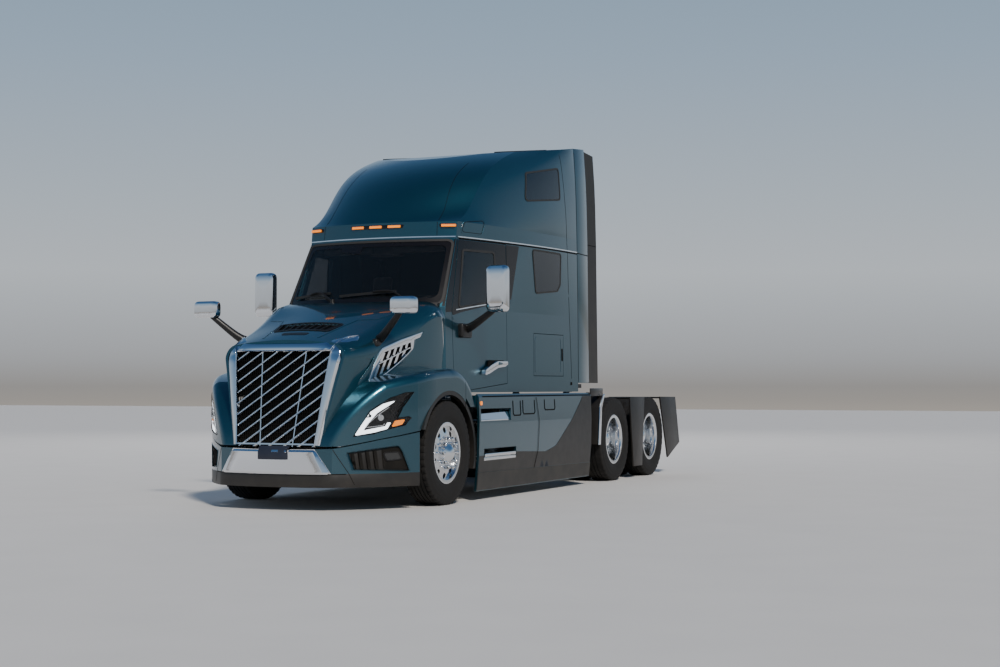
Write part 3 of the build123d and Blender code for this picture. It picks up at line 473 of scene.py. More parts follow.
def raised(form, height, soft=0.0, segments=2):
    """Give a flat form a height, with its upper edges rounded."""
    grown = bmesh.ops.extrude_face_region(form, geom=form.faces[:])["geom"]
    tops = [part for part in grown if isinstance(part, bmesh.types.BMVert)]
    bmesh.ops.translate(form, vec=(0, 0, height), verts=tops)
    bmesh.ops.recalc_face_normals(form, faces=form.faces)
    if soft:
        rim = [edge for edge in folded(form, RIM_ANGLE)
               if all(abs(vert.co.z - height) < 1e-6 for vert in edge.verts)]
        softly(form, rim, soft, segments)
    return form


def ribbon(points, width, height, closed=False):
    """Flat strip of one width along a line."""
    form = bmesh.new()
    points = [Vector(point) for point in points]
    rows = []
    for i, here in enumerate(points):
        before = points[i - 1] if i or closed else here
        after = points[(i + 1) % len(points)] if closed or i + 1 < len(points) else here
        run = (after - before).normalized()
        across = Vector((-run.y, run.x)) * width / 2
        rows.append([(*(here - across), 0), (*(here + across), 0)])
    skinned(form, rows + rows[:1] if closed else rows, closed=False)
    if closed:
        bmesh.ops.remove_doubles(form, verts=form.verts, dist=1e-6)
    return raised(form, height)


def skinned(form, loops, closed=True, ends=False):
    """Faces between successive loops of points."""
    rows = [[form.verts.new(point) for point in loop] for loop in loops]
    for row, after in zip(rows, rows[1:]):
        for i in range(len(row) if closed else len(row) - 1):
            j = (i + 1) % len(row)
            form.faces.new((row[i], row[j], after[j], after[i]))
    if ends:
        form.faces.new(rows[0])
        form.faces.new(rows[-1])
    bmesh.ops.recalc_face_normals(form, faces=form.faces)
    return form


def swept(form, path, section, up=(0, 0, 1), scales=None):
    """Carry a section of (sideways, upward) points along a path."""
    path = [Vector(point) for point in path]
    loops = []
    for i, here in enumerate(path):
        run = (path[min(i + 1, len(path) - 1)] - path[max(i - 1, 0)]).normalized()
        side = run.cross(Vector(up)).normalized()
        rise = side.cross(run)
        size = scales[i] if scales else 1.0
        loops.append([here + side * a * size + rise * b * size for a, b in section])
    return skinned(form, loops, ends=True)


def circle(radius, sides):
    """Section of a round bar."""
    turns = [math.tau * i / sides for i in range(sides)]
    return [(radius * math.cos(turn), radius * math.sin(turn)) for turn in turns]


def tube(form, path, radius, sides=10, up=(0, 0, 1), scales=None):
    """Round bar along a path."""
    return swept(form, path, circle(radius, sides), up, scales)


def curved(points, steps=8):
    """Smooth line through points."""
    points = [Vector(point) for point in points]
    line = []
    for i in range(len(points) - 1):
        a, b, c, d = (points[min(max(i + k, 0), len(points) - 1)] for k in (-1, 0, 1, 2))
        for step in range(steps):
            t = step / steps
            line.append(0.5 * (2 * b + (c - a) * t + (2 * a - 5 * b + 4 * c - d) * t ** 2
                               + (3 * b - a - 3 * c + d) * t ** 3))
    return line + [points[-1]]


def block(form, low_corner, high_corner, soft=0.0, segments=2):
    """Box between two corners with rounded edges."""
    low_corner, high_corner = Vector(low_corner), Vector(high_corner)
    size = high_corner - low_corner
    place = Matrix.Translation((low_corner + high_corner) / 2) @ Matrix.Diagonal((*size, 1))
    made = bmesh.ops.create_cube(form, size=1.0, matrix=place)["verts"]
    if soft:
        softly(form, list({edge for vert in made for edge in vert.link_edges}), soft, segments)


def disc(form, place, radius, depth, top=None, sides=28):
    """Round or many-sided disc about a place's own z axis, its top as wide as its foot or narrower."""
    bmesh.ops.create_cone(form, cap_ends=True, segments=sides, radius1=radius,
                          radius2=radius if top is None else top, depth=depth, matrix=place)


def bolts(form, spots, direction, radius, height):
    """Hexagon heads on washers, all facing one way."""
    turn = Vector(direction).to_track_quat("Z", "Y").to_matrix().to_4x4()
    for spot in spots:
        for sides, wide, low, high in ((12, 1.45, 0, 0.25), (6, 1.0, 0.25, 1.0)):
            middle_point = Vector(spot) + Vector(direction).normalized() * height * (low + high) / 2
            disc(form, Matrix.Translation(middle_point) @ turn, radius * wide, height * (high - low),
                 radius * wide * 0.94, sides)


class Skin:
    """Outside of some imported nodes, onto which trim is laid."""

    SIGHT = {"side": Vector((-1, 0, 0)), "front": Vector((0, 1, 0)), "top": Vector((0, 0, -1)),
             "back": Vector((0, -1, 0))}

    def __init__(self, *nodes):
        self.nodes = nodes
        self.tree = self.grown([], [])
        self.last = Vector()

    def grown(self, points, faces):
        """Search tree of some faces of its own and those of the nodes."""
        for node in self.nodes:
            mesh = NODES[node].data
            start = len(points)
            points += [vert.co.copy() for vert in mesh.vertices]
            faces += [[start + i for i in face.vertices] for face in mesh.polygons]
        return BVHTree.FromPolygons(points, faces)

    def meet(self, view, a, b):
        """Point and outward normal where a line of sight reaches the skin."""
        start = {"side": at(3, a, b), "front": at(a, -3, b), "top": at(a, b, 6), "back": at(a, 8, b)}[view]
        spot, normal, _, _ = self.tree.ray_cast(start, self.SIGHT[view])
        if spot is None:
            depth = {"side": 0, "front": 1, "top": 2, "back": 1}[view]
            start[depth] = self.last[depth]
            spot, normal, _, _ = self.tree.find_nearest(start)
        self.last = spot
        if normal.dot(self.SIGHT[view]) > 0:
            normal = -normal
        return spot, normal

    def lay(self, form, view, lift=0.0):
        """Move a flat form onto the skin; its z becomes the height above the skin."""
        for vert in form.verts:
            spot, normal = self.meet(view, vert.co.x, vert.co.y)
            vert.co = spot + normal * (vert.co.z + lift)
        bmesh.ops.recalc_face_normals(form, faces=form.faces)
        return form


def softened(node, width, finish=None, segments=2):
    """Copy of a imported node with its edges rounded, which stands for it."""
    form = bmesh.new()
    form.from_mesh(NODES[node].data)
    bmesh.ops.remove_doubles(form, verts=form.verts, dist=0.00005)
    bmesh.ops.dissolve_limit(form, angle_limit=math.radians(0.6), verts=form.verts, edges=form.edges)
    softly(form, folded(form, EDGE_ANGLE), width, segments)
    new_piece(f"{node}_softened", form, finish or SLOT_OF[node], BODY_OF[node], SLOT_OF[node], 35, [node])


def spun(form, profile, steps, centre, closed=True):
    """Turn a profile of (along x, radius) points about the x axis through a centre."""
    verts = [form.verts.new(centre + Vector((x, 0, r))) for x, r in profile]
    edges = [form.edges.new((a, b)) for a, b in zip(verts, verts[1:])]
    if closed:
        edges.append(form.edges.new((verts[-1], verts[0])))
    bmesh.ops.spin(form, geom=verts + edges, cent=centre, axis=(1, 0, 0), angle=math.tau, steps=steps,
                   use_merge=True)
    bmesh.ops.recalc_face_normals(form, faces=form.faces)
    return form


def place_camera():
    """Camera where the photograph was taken from."""
    data = bpy.data.cameras.new("camera")
    data.sensor_width, data.lens = 36.0, 57.88
    camera = bpy.data.objects.new("camera", data)
    camera.location = (8.081, -16.815, 1.152)
    camera.rotation_euler = (math.radians(91.879), 0.0, math.radians(24.417))
    bpy.context.scene.collection.objects.link(camera)
    bpy.context.scene.camera = camera


def place_light(name, location, size, power, target, colour=(1, 1, 1)):
    """Soft rectangular studio light that faces a target."""
    data = bpy.data.lights.new(name, "AREA")
    data.shape, data.size, data.size_y = "RECTANGLE", size[0], size[1]
    data.energy, data.color = power, colour
    light = bpy.data.objects.new(name, data)
    light.location = location
    light.rotation_euler = (Vector(target) - Vector(location)).to_track_quat("-Z", "Y").to_euler()
    light.visible_glossy = False
    bpy.context.scene.collection.objects.link(light)


# colours of the studio's surroundings from straight down (0) through the horizon (0.5) to straight up
SKY = [
    (0.0, (0.50, 0.45, 0.39)), (0.490, (0.60, 0.55, 0.49)), (0.499, (0.44, 0.42, 0.40)),
    (0.510, (0.58, 0.60, 0.63)), (0.535, (0.78, 0.84, 0.90)), (0.60, (0.48, 0.64, 0.82)),
    (0.74, (0.10, 0.24, 0.46)), (1.0, (0.03, 0.09, 0.24)),
]
SKY_STRENGTH, SUN_STRENGTH, SUN_WIDTH = 0.70, 3.6, math.radians(7)
SUN_COLOUR, SUN_RAY = (1.0, 0.94, 0.86), (-0.62, 0.60, -0.75)
FLOOR_HALF = 60.0


def studio_floor():
    """Wide pale floor with faint clouds of tone."""
    form = bmesh.new()
    bmesh.ops.create_grid(form, x_segments=1, y_segments=1, size=FLOOR_HALF)
    mesh = bpy.data.meshes.new("floor")
    form.to_mesh(mesh)
    form.free()
    floor = bpy.data.objects.new("floor", mesh)
    bpy.context.scene.collection.objects.link(floor)
    finish = Finish("studio_floor", (0.62, 0.60, 0.575), 0.75, 0.0)
    clouds = finish.noise(1.5, 5.0)
    finish.feed("Base Color", finish.mix(clouds, (0.60, 0.58, 0.555), (0.66, 0.64, 0.615)))
    mesh.materials.append(finish.material)


def sky():
    """Soft sky and ground around the studio, shaded by height."""
    world = bpy.data.worlds.new("studio")
    world.use_nodes = True
    tree = world.node_tree
    background = tree.nodes["Background"]
    where = tree.nodes.new("ShaderNodeTexCoord")
    split = tree.nodes.new("ShaderNodeSeparateXYZ")
    ramp = tree.nodes.new("ShaderNodeValToRGB")
    tree.links.new(where.outputs["Generated"], split.inputs[0])
    lifted = tree.nodes.new("ShaderNodeMapRange")
    lifted.inputs["From Min"].default_value = -1.0
    tree.links.new(split.outputs["Z"], lifted.inputs["Value"])
    tree.links.new(lifted.outputs["Result"], ramp.inputs["Fac"])
    for i, (spot, colour) in enumerate(SKY):
        stop = ramp.color_ramp.elements[i] if i < 2 else ramp.color_ramp.elements.new(spot)
        stop.position, stop.color = spot, (*colour, 1.0)
    tree.links.new(ramp.outputs["Color"], background.inputs["Color"])
    background.inputs["Strength"].default_value = SKY_STRENGTH
    bpy.context.scene.world = world


def studio():
    """Pale floor, a soft sky, a warm sun and two large lights."""
    studio_floor()
    sky()
    sun = bpy.data.lights.new("sun", "SUN")
    sun.energy, sun.angle, sun.color = SUN_STRENGTH, SUN_WIDTH, SUN_COLOUR
    light = bpy.data.objects.new("sun", sun)
    light.rotation_euler = Vector(SUN_RAY).to_track_quat("-Z", "Y").to_euler()
    bpy.context.scene.collection.objects.link(light)
    place_light("fill", (-15.0, -14.0, 7.0), (14, 10), 500, (0, -2, 1.5), (0.88, 0.94, 1.0))
    place_light("back", (-8.0, 16.0, 12.0), (12, 8), 900, (0, 1, 2.0))


place_camera()
studio()


GROOVE_WIDTH, GROOVE_DEPTH, GROOVE_SLOPE = 0.011, 0.014, 0.002
TREAD_DROP = 0.0015                 # how much lower the tread is at its edge than in its middle
TREAD_EDGE, SHOULDER = 0.027, 0.06  # from the side wall in to the tread's edge and to the ends of the lugs
LUG_DEPTH, LUG_SIDE_DEPTH = 0.011, 0.006
FRONT_GROOVES, DRIVE_GROOVES = (0.0, 0.040, 0.078), (0.0, 0.045)
FRONT_LUGS, DRIVE_LUGS = 46, 40


def tyre_profile():
    """Half of a tyre's outline as (across, radius), from the bead to the edge of the tread."""
    half = TYRE_WIDTH / 2
    crown = TYRE_RADIUS
    return [(half - 0.045, 0.300), (half - 0.030, 0.297), (half - 0.018, 0.305), (half - 0.016, 0.318),
            (half - 0.007, 0.335), (half - 0.001, 0.370), (half, 0.395), (half - 0.002, 0.420),
            (half - 0.0045, 0.432), (half - 0.0035, 0.436), (half - 0.008, 0.450), (half - 0.013, 0.470),
            (half - 0.017, crown - 0.020), (half - 0.020, crown - 0.008),
            (half - TREAD_EDGE, crown - TREAD_DROP)]


def tread(grooves):
    """Tread from a shoulder to the middle, with grooves at distances from the middle."""
    half, crown = TYRE_WIDTH / 2 - TREAD_EDGE, TYRE_RADIUS
    points = []
    for centre in sorted(grooves, reverse=True):
        outer, inner = centre + GROOVE_WIDTH / 2, centre - GROOVE_WIDTH / 2
        deep = crown - GROOVE_DEPTH
        crowned = crown - TREAD_DROP * (centre / half) ** 2
        if centre == 0:
            points += [(outer, crown), (outer - GROOVE_SLOPE, deep)]
        else:
            points += [(outer, crowned), (outer - GROOVE_SLOPE, deep), (inner + GROOVE_SLOPE, deep),
                       (inner, crowned)]
    return points


def tyre_piece(name, centres, body, replaced, grooves, lug_pitches):
    """A tyre or a pair: turned outline, ribbed tread, and lugs cut across its shoulders."""
    side = tyre_profile() + tread(grooves)
    profile = side + [(-x, r) for x, r in reversed(side) if x > 1e-6]
    steps = lug_pitches * 4
    form = bmesh.new()
    for centre in centres:
        spun(form, profile, steps, centre)
    shoulder = TYRE_WIDTH / 2 - SHOULDER
    for vert in form.verts:
        centre = min(centres, key=lambda c: abs(c.x - vert.co.x))
        across = vert.co - centre
        radius = math.hypot(across.y, across.z)
        if radius > TYRE_RADIUS - 0.03 and abs(across.x) > shoulder:
            turn = math.atan2(across.y, across.z) / math.tau * steps
            lean = 1 if across.x > 0 else 3
            if (round(turn) + lean) % 4 == 0:
                depth = LUG_DEPTH if radius > TYRE_RADIUS - 0.012 else LUG_SIDE_DEPTH
                vert.co -= Vector((0, across.y, across.z)) / radius * depth
    for vert in form.verts:
        vert.co.z = max(vert.co.z, 0.0)
    new_piece(name, form, "tyre", body, "tyre", 35, replaced)


def tyres():
    """Six bodies of tyres: two single ones in front and four pairs behind."""
    for side, sign in SIDES.items():
        tyre_piece(f"tyre_front_{side}", [at(sign * STEER_X, 0, AXLE_Z)], f"front_wheel_{side}",
                   [f"front_tyre_{side}"], FRONT_GROOVES, FRONT_LUGS)
        for name, y in DRIVE_Y.items():
            pair = [Vector((sign * x, y, AXLE_Z)) for x in (DUAL_OUTER_X, DUAL_INNER_X)]
            tyre_piece(f"tyres_{name}_drive_{side}", pair, f"{name}_drive_wheel_{side}",
                       [f"{name}_drive_tyres_{side}"], DRIVE_GROOVES, DRIVE_LUGS)


tyres()

HOLE_CIRCLE, HOLE_RADIUS, HOLES = 0.222, 0.028, 10
NUT_CIRCLE, NUT_RADIUS, NUT_FOOT, NUTS = 0.143, 0.0175, 0.0215, 10
DISC_WALL, HOLE_LIP = 0.012, 0.002
DISC_INNER, FRONT_DISC_OUTER, DRIVE_DISC_OUTER = 0.168, 0.258, 0.243
# the outer lip of a rim as (outwards, radius), from the well to the back of the lip
RIM_LIP = [(0.1145, 0.262), (0.1165, 0.285), (0.1175, 0.296), (0.116, 0.3005), (0.110, 0.3015),
           (0.104, 0.2985)]


def rim_disc(form, centre, out, outer_r, depth_at):
    """Disc of a wheel with round hand holes; depth_at gives how far out its face is at a radius."""
    sides, spread = 6, math.pi / HOLES
    square = [(-1, -1), (1, -1), (1, 1), (-1, 1)]
    border = [Vector(square[k]).lerp(Vector(square[(k + 1) % 4]), step / sides)
              for k in range(4) for step in range(sides)]
    middle_r, half_r = (DISC_INNER + outer_r) / 2, (outer_r - DISC_INNER) / 2
    made = bmesh.new()
    for number in range(HOLES):
        loops = []
        for share in (1.0, 0.55, 0.2, 0.0, -0.3):
            loop = []
            for u, v in border:
                turn = math.atan2(v, u)
                hole = Vector((HOLE_RADIUS * math.cos(turn), HOLE_CIRCLE + HOLE_RADIUS * math.sin(turn)))
                lean, radius = u * spread, middle_r + v * half_r
                edge = Vector((radius * math.sin(lean), radius * math.cos(lean)))
                flat = hole.lerp(edge, max(share, 0.0))
                x = depth_at(flat.length)
                x = x - (DISC_WALL if share < 0 else 0.0) - (HOLE_LIP if share == 0.0 else 0.0)
                loop.append((x, flat.x, flat.y))
            loops.append(loop)
        before = set(made.verts)
        skinned(made, loops)
        fresh = [vert for vert in made.verts if vert not in before]
        turn = Matrix.Rotation(2 * spread * number, 3, "X")
        bmesh.ops.rotate(made, verts=fresh, cent=(0, 0, 0), matrix=turn)
    bmesh.ops.remove_doubles(made, verts=made.verts, dist=0.0002)
    made.transform(Matrix.Translation(centre) @ Matrix.Diagonal((out, 1, 1, 1)))
    return joined(form, made)


def joined(form, other):
    """Add another form's faces to a form."""
    mesh = bpy.data.meshes.new("joined")
    other.to_mesh(mesh)
    other.free()
    form.from_mesh(mesh)
    bpy.data.meshes.remove(mesh)
    return form


def turned(form, profile, steps, centre, out):
    """Spin an open profile of (outwards, radius) points; out is the side it faces."""
    made = bmesh.new()
    spun(made, profile, steps, Vector(), closed=False)
    bmesh.ops.remove_doubles(made, verts=made.verts, dist=1e-5)
    made.transform(Matrix.Translation(centre) @ Matrix.Diagonal((out, 1, 1, 1)))
    bmesh.ops.recalc_face_normals(made, faces=made.faces)
    return joined(form, made)


def nut_covers(form, centre, out, start, length):
    """Ring of tall chrome nut covers."""
    profile = [(0.0, NUT_FOOT), (0.006, NUT_FOOT), (0.009, NUT_RADIUS), (length - 0.014, NUT_RADIUS * 0.93),
               (length - 0.005, NUT_RADIUS * 0.72), (length, NUT_RADIUS * 0.30), (length + 0.0005, 0.0)]
    for number in range(NUTS):
        lean = math.tau * (number + 0.5) / NUTS
        spot = centre + Vector((out * start, NUT_CIRCLE * math.sin(lean), NUT_CIRCLE * math.cos(lean)))
        turned(form, profile, 14, spot, out)


def front_rim(side, sign):
    """Steered wheel: polished disc near the outer flange, conical hub cover and tall nut covers."""
    centre = at(sign * STEER_X, 0, AXLE_Z)
    form = bmesh.new()
    outside = [(0.0785, 0.258), (0.094, 0.2605), (0.108, 0.2625), (0.1145, 0.2640), *RIM_LIP[1:],
               (0.100, 0.2915), (0.098, 0.280), (0.082, 0.272)]
    inside = [(-0.112, 0.268), (-0.1145, 0.295), (-0.112, 0.300), (-0.106, 0.286), (-0.03, 0.250),
              (0.066, 0.250), (0.0785, 0.258)]
    turned(form, outside + inside, 80, centre, sign)
    rim_disc(form, centre, sign, FRONT_DISC_OUTER, lambda r: 0.0785 + 0.018 * (FRONT_DISC_OUTER - r) / 0.09)
    hub_cover = [(0.0965, 0.168), (0.0985, 0.166), (0.0985, 0.112), (0.104, 0.110), (0.106, 0.106),
                 (0.130, 0.098), (0.136, 0.094), (0.139, 0.088), (0.164, 0.062), (0.176, 0.046),
                 (0.181, 0.030), (0.183, 0.0)]
    turned(form, hub_cover, 60, centre, sign)
    nut_covers(form, centre, sign, 0.0985, 0.072)
    new_piece(f"front_wheel_disc_{side}", form, "aluminium", f"front_wheel_{side}", "aluminium", 35,
              [f"front_rim_{side}"])
    brake = bmesh.new()
    turned(brake, [(-0.02, 0.045), (-0.02, 0.205), (0.062, 0.205), (0.062, 0.045)], 48, centre, sign)
    new_piece(f"front_brake_drum_{side}", brake, "cast", f"front_wheel_{side}", "cast", 35)


def drive_rims(name, y, side, sign):
    """Twin wheels: the outer one dished, with a hub cap and nut covers deep inside."""
    outer = Vector((sign * DUAL_OUTER_X, y, AXLE_Z))
    inner = Vector((sign * DUAL_INNER_X, y, AXLE_Z))
    form = bmesh.new()
    barrel = [(-0.146, 0.243), (-0.132, 0.2445), (-0.10, 0.2455), (0.03, 0.2475), (0.085, 0.2535),
              (0.108, 0.259)]
    back = [(0.02, 0.262), (-0.105, 0.270), (-0.1145, 0.298), (-0.118, 0.270), (-0.150, 0.250),
            (-0.146, 0.243)]
    turned(form, barrel + RIM_LIP + [(0.101, 0.288)] + back, 80, outer, sign)
    rim_disc(form, outer, sign, DRIVE_DISC_OUTER,
             lambda r: -0.146 + 0.012 * (max(DRIVE_DISC_OUTER - r, 0.0) / 0.075) ** 0.5)
    hub_cap = [(-0.134, 0.168), (-0.134, 0.106), (-0.128, 0.103), (0.004, 0.099), (0.014, 0.095),
               (0.034, 0.074), (0.046, 0.050), (0.052, 0.028), (0.053, 0.0)]
    turned(form, hub_cap, 60, outer, sign)
    nut_covers(form, outer, sign, -0.134, 0.070)
    inner_rim = [(-0.1145, 0.262), (-0.1175, 0.296), (-0.112, 0.3015), (-0.104, 0.2985), (-0.10, 0.272),
                 (0.10, 0.272), (0.104, 0.2985), (0.112, 0.3015), (0.1175, 0.296), (0.1145, 0.262),
                 (0.158, 0.240), (0.158, 0.10), (0.146, 0.10), (0.146, 0.232), (0.06, 0.25), (-0.1145, 0.262)]
    turned(form, inner_rim, 60, inner, sign)
    new_piece(f"{name}_drive_wheel_discs_{side}", form, "aluminium", f"{name}_drive_wheel_{side}",
              "aluminium", 35, [f"{name}_drive_rims_{side}"])
    brake = bmesh.new()
    turned(brake, [(-0.07, 0.06), (-0.07, 0.21), (0.13, 0.21), (0.13, 0.06)], 48, inner, sign)
    new_piece(f"{name}_drive_brake_drum_{side}", brake, "cast", f"{name}_drive_wheel_{side}", "cast", 35)


def wheels():
    """Rims with their discs, covers and brake drums."""
    for side, sign in SIDES.items():
        front_rim(side, sign)
        for name, y in DRIVE_Y.items():
            drive_rims(name, y, side, sign)


wheels()


# the grille lies on the leaning nose: u across, v up the slope, h out of it
NOSE_FOOT, NOSE_TOP = Vector((0, -1.262, 0.597)), Vector((0, -1.120, 1.482))
NOSE_LENGTH = (NOSE_TOP - NOSE_FOOT).length
NOSE_LEAN = math.atan2(NOSE_TOP.y - NOSE_FOOT.y, NOSE_TOP.z - NOSE_FOOT.z)
NOSE = (Matrix.Translation(at(*NOSE_FOOT)) @ Matrix.Rotation(math.pi / 2 - NOSE_LEAN, 4, "X"))
FIELD_FOOT, FIELD_TOP, FIELD_LENGTH = 0.418, 0.511, NOSE_LENGTH - 0.006
BLADE_RISE, BLADE_STEP, BLADE_COUNT, BLADE_FOOT = math.radians(34.8), 0.111, 14, -0.695
BLADE_REACH, DIVIDER_FOOT, DIVIDER_TOP = 0.62, 0.175, 0.240
BLADE_SECTION = [(-0.0105, -0.014), (-0.0085, 0.000), (-0.003, 0.007), (0.003, 0.007), (0.0085, 0.000),
                 (0.0105, -0.014)]
DIVIDER_SECTION = [(-0.006, -0.014), (-0.005, 0.000), (0.005, 0.000), (0.006, -0.014)]
FIN_REACH, FIN_STEP, FINS, BAR_STEP, BARS = 0.52, 0.0232, 46, 0.038, 24


def trimmed(form, inside=0.0):
    """Cut what reaches past the grille's field."""
    lean = math.atan2(FIELD_TOP - FIELD_FOOT, FIELD_LENGTH)
    planes = [((0, -inside, 0), (0, -1, 0)), ((0, FIELD_LENGTH + inside, 0), (0, 1, 0))]
    for sign in (1, -1):
        planes.append(((sign * (FIELD_FOOT + inside), 0, 0), (sign * math.cos(lean), -math.sin(lean), 0)))
    for spot, direction in planes:
        parts = form.verts[:] + form.edges[:] + form.faces[:]
        bmesh.ops.bisect_plane(form, geom=parts, plane_co=spot, plane_no=direction, clear_outer=True)
        loose = [edge for edge in form.edges if len(edge.link_faces) == 1]
        bmesh.ops.holes_fill(form, edges=loose, sides=0)
    return form


def grille():
    """Slanted bright blades and two thin dividers over black fins."""
    blades = bmesh.new()
    slope = math.tan(BLADE_RISE)
    for number in range(BLADE_COUNT):
        foot = BLADE_FOOT + number * BLADE_STEP
        swept(blades, [(-BLADE_REACH, foot - 0.02 * slope, 0),
                       (BLADE_REACH, foot + (2 * BLADE_REACH - 0.02) * slope, 0)], BLADE_SECTION)
    trimmed(blades, 0.004)
    for sign in (1, -1):
        swept(blades, [(sign * DIVIDER_FOOT, -0.005, -0.002),
                       (sign * DIVIDER_TOP, FIELD_LENGTH + 0.005, -0.002)], DIVIDER_SECTION)
    blades.transform(NOSE)
    new_piece("grille_blades", blades, "bright", "hood", "chrome", 35, ["grille"])
    fins = bmesh.new()
    for number in range(FINS):
        u = -FIN_REACH + number * FIN_STEP
        block(fins, (u - 0.002, -0.004, -0.030), (u + 0.002, FIELD_LENGTH + 0.004, -0.016))
    for number in range(BARS):
        v = 0.015 + number * BAR_STEP
        block(fins, (-FIN_REACH, v - 0.003, -0.034), (FIN_REACH, v + 0.003, -0.024))
    trimmed(fins)
    block(fins, (-0.430, 0.0, -0.046), (0.430, FIELD_LENGTH - 0.01, -0.040))
    fins.transform(NOSE)
    new_piece("grille_fins", fins, "deep_black", "hood", "black_plastic", 35)


grille()

# the chrome surround: its left leg as outer and inner edge, up and then back along the horn to its tip
SURROUND_LEG = [
    # outer x, y, z, inner x, y, z
    (0.474, -1.235, 0.605, 0.4155, -1.280, 0.610), (0.500, -1.221, 0.800, 0.437, -1.249, 0.800),
    (0.528, -1.206, 1.000, 0.458, -1.218, 1.000), (0.562, -1.180, 1.209, 0.481, -1.184, 1.209),
    (0.586, -1.160, 1.325, 0.494, -1.166, 1.325), (0.600, -1.144, 1.394, 0.501, -1.155, 1.394),
    (0.608, -1.115, 1.440, 0.507, -1.146, 1.450), (0.618, -1.083, 1.481, 0.516, -1.142, 1.482),
    (0.627, -1.018, 1.522, 0.538, -1.110, 1.524), (0.633, -0.963, 1.548, 0.548, -1.050, 1.558),
    (0.644, -0.920, 1.563, 0.560, -0.970, 1.589), (0.656, -0.881, 1.573, 0.590, -0.900, 1.606),
    (0.642, -0.842, 1.604, 0.630, -0.838, 1.614),
]
# its top from the same tip forward along the fold and across to the middle
SURROUND_TOP = [
    # upper x, y, z, lower x, y, z
    (0.624, -0.834, 1.618, 0.630, -0.840, 1.613), (0.579, -0.900, 1.610, 0.578, -0.935, 1.597),
    (0.530, -0.954, 1.596, 0.548, -1.050, 1.558), (0.484, -1.014, 1.580, 0.538, -1.110, 1.524),
    (0.466, -1.054, 1.568, 0.510, -1.141, 1.480), (0.428, -1.100, 1.556, 0.470, -1.146, 1.478),
    (0.300, -1.116, 1.550, 0.300, -1.146, 1.477), (0.000, -1.118, 1.550, 0.000, -1.146, 1.477),
]
SURROUND_SECTION = [(-0.14, -0.120), (-0.17, -0.028), (-0.12, -0.008), (0.0, 0.004), (0.08, 0.013),
                    (0.30, 0.019), (0.65, 0.018), (0.86, 0.012), (0.89, 0.009), (0.905, 0.014),
                    (0.965, 0.014), (0.985, 0.010), (1.0, 0.003)]
SILL_SECTION = [(-0.007, -0.012), (-0.007, 0.008), (0.007, 0.008), (0.007, -0.012)]


def framed(pairs):
    """Closed strip between paired outer and inner points, its section raised off the line between them."""
    loops = []
    for number, (a, b) in enumerate(pairs):
        before, after = pairs[max(number - 1, 0)], pairs[min(number + 1, len(pairs) - 1)]
        along = after[0] - before[0] + after[1] - before[1]
        normal = along.cross(b - a).normalized()
        loops.append([a.lerp(b, share) + normal * height for share, height in SURROUND_SECTION])
    return skinned(bmesh.new(), loops, ends=True)


def edge_pairs(rows):
    """Smooth lines through the outer and the inner points of a table, taken in pairs."""
    outer, inner = ([at(*row[first:first + 3]) for row in rows] for first in (0, 3))
    return list(zip(curved(outer, 4), curved(inner, 4)))


def surround():
    """Wide chrome frame round the grille with a thin bright inner edge, its horns swept back on the hood."""
    form = twinned(framed(edge_pairs(SURROUND_LEG)))
    top = edge_pairs(SURROUND_TOP)
    top += [(Vector((-a.x, a.y, a.z)), Vector((-b.x, b.y, b.z))) for a, b in reversed(top[:-1])]
    joined(form, framed(top))
    sill = bmesh.new()
    swept(sill, [(-FIELD_FOOT, 0.018, 0.004), (FIELD_FOOT, 0.018, 0.004)], SILL_SECTION)
    sill.transform(NOSE)
    joined(form, sill)
    new_piece("grille_frame", form, "chrome", "hood", "chrome", 30, ["grille_surround"])


def plate(outlines):
    """Flat face from an outline and its holes."""
    form = bmesh.new()
    for outline in outlines:
        verts = [form.verts.new((a, b, 0)) for a, b in outline]
        for one, other in zip(verts, verts[1:] + verts[:1]):
            form.edges.new((one, other))
    bmesh.ops.triangle_fill(form, use_beauty=True, edges=form.edges[:], normal=(0, 0, 1))
    bmesh.ops.recalc_face_normals(form, faces=form.faces)
    return form


OUTLINE_GAP, TRIM_CELL = 0.04, 0.09     # how closely laid trim follows its skin
TRIM_LIFT, TRIM_SINK = 0.0006, -0.001   # usual place of trim over its skin, and of beads grown out of it


def eased(outline, radius):
    """Closed outline with rounded corners and close points."""
    return spaced(rounded(outline, radius) if radius else outline, OUTLINE_GAP)


def flat_form(kind, points, size, height, radius):
    """Flat trim: a line or loop of a width, or a patch or pierced plate whose size is its edge's rounding."""
    if kind == "line":
        return ribbon(spaced(points, OUTLINE_GAP, closed=False), size, height)
    if kind == "loop":
        return ribbon(eased(points, radius), size, height, closed=True)
    if kind == "plate":
        return raised(refined(plate([eased(outline, radius) for outline in points]), TRIM_CELL), height, size)
    return raised(refined(sheet(eased(points, radius)), TRIM_CELL), height, size)


def laid(skin, view, parts, lift=TRIM_LIFT):
    """Flat trim joined and laid on a skin."""
    form = bmesh.new()
    for kind, points, size, height, radius in parts:
        joined(form, skin.lay(flat_form(kind, points, size, height, radius), view, lift))
    return form


def on_both(name, form, finish, body, slot=None, smooth=30, replaced=()):
    """A left piece, and its twin: on one body a single mirrored piece, else one piece a side."""
    if "{}" not in body:
        new_piece(name, twinned(form), finish, body, slot, smooth, replaced)
        return
    for side, sign in SIDES.items():
        gone = [node.format(side) for node in replaced]
        new_piece(f"{name}_{side}", sided(form.copy(), sign), finish, body.format(side), slot, smooth, gone)
    form.free()


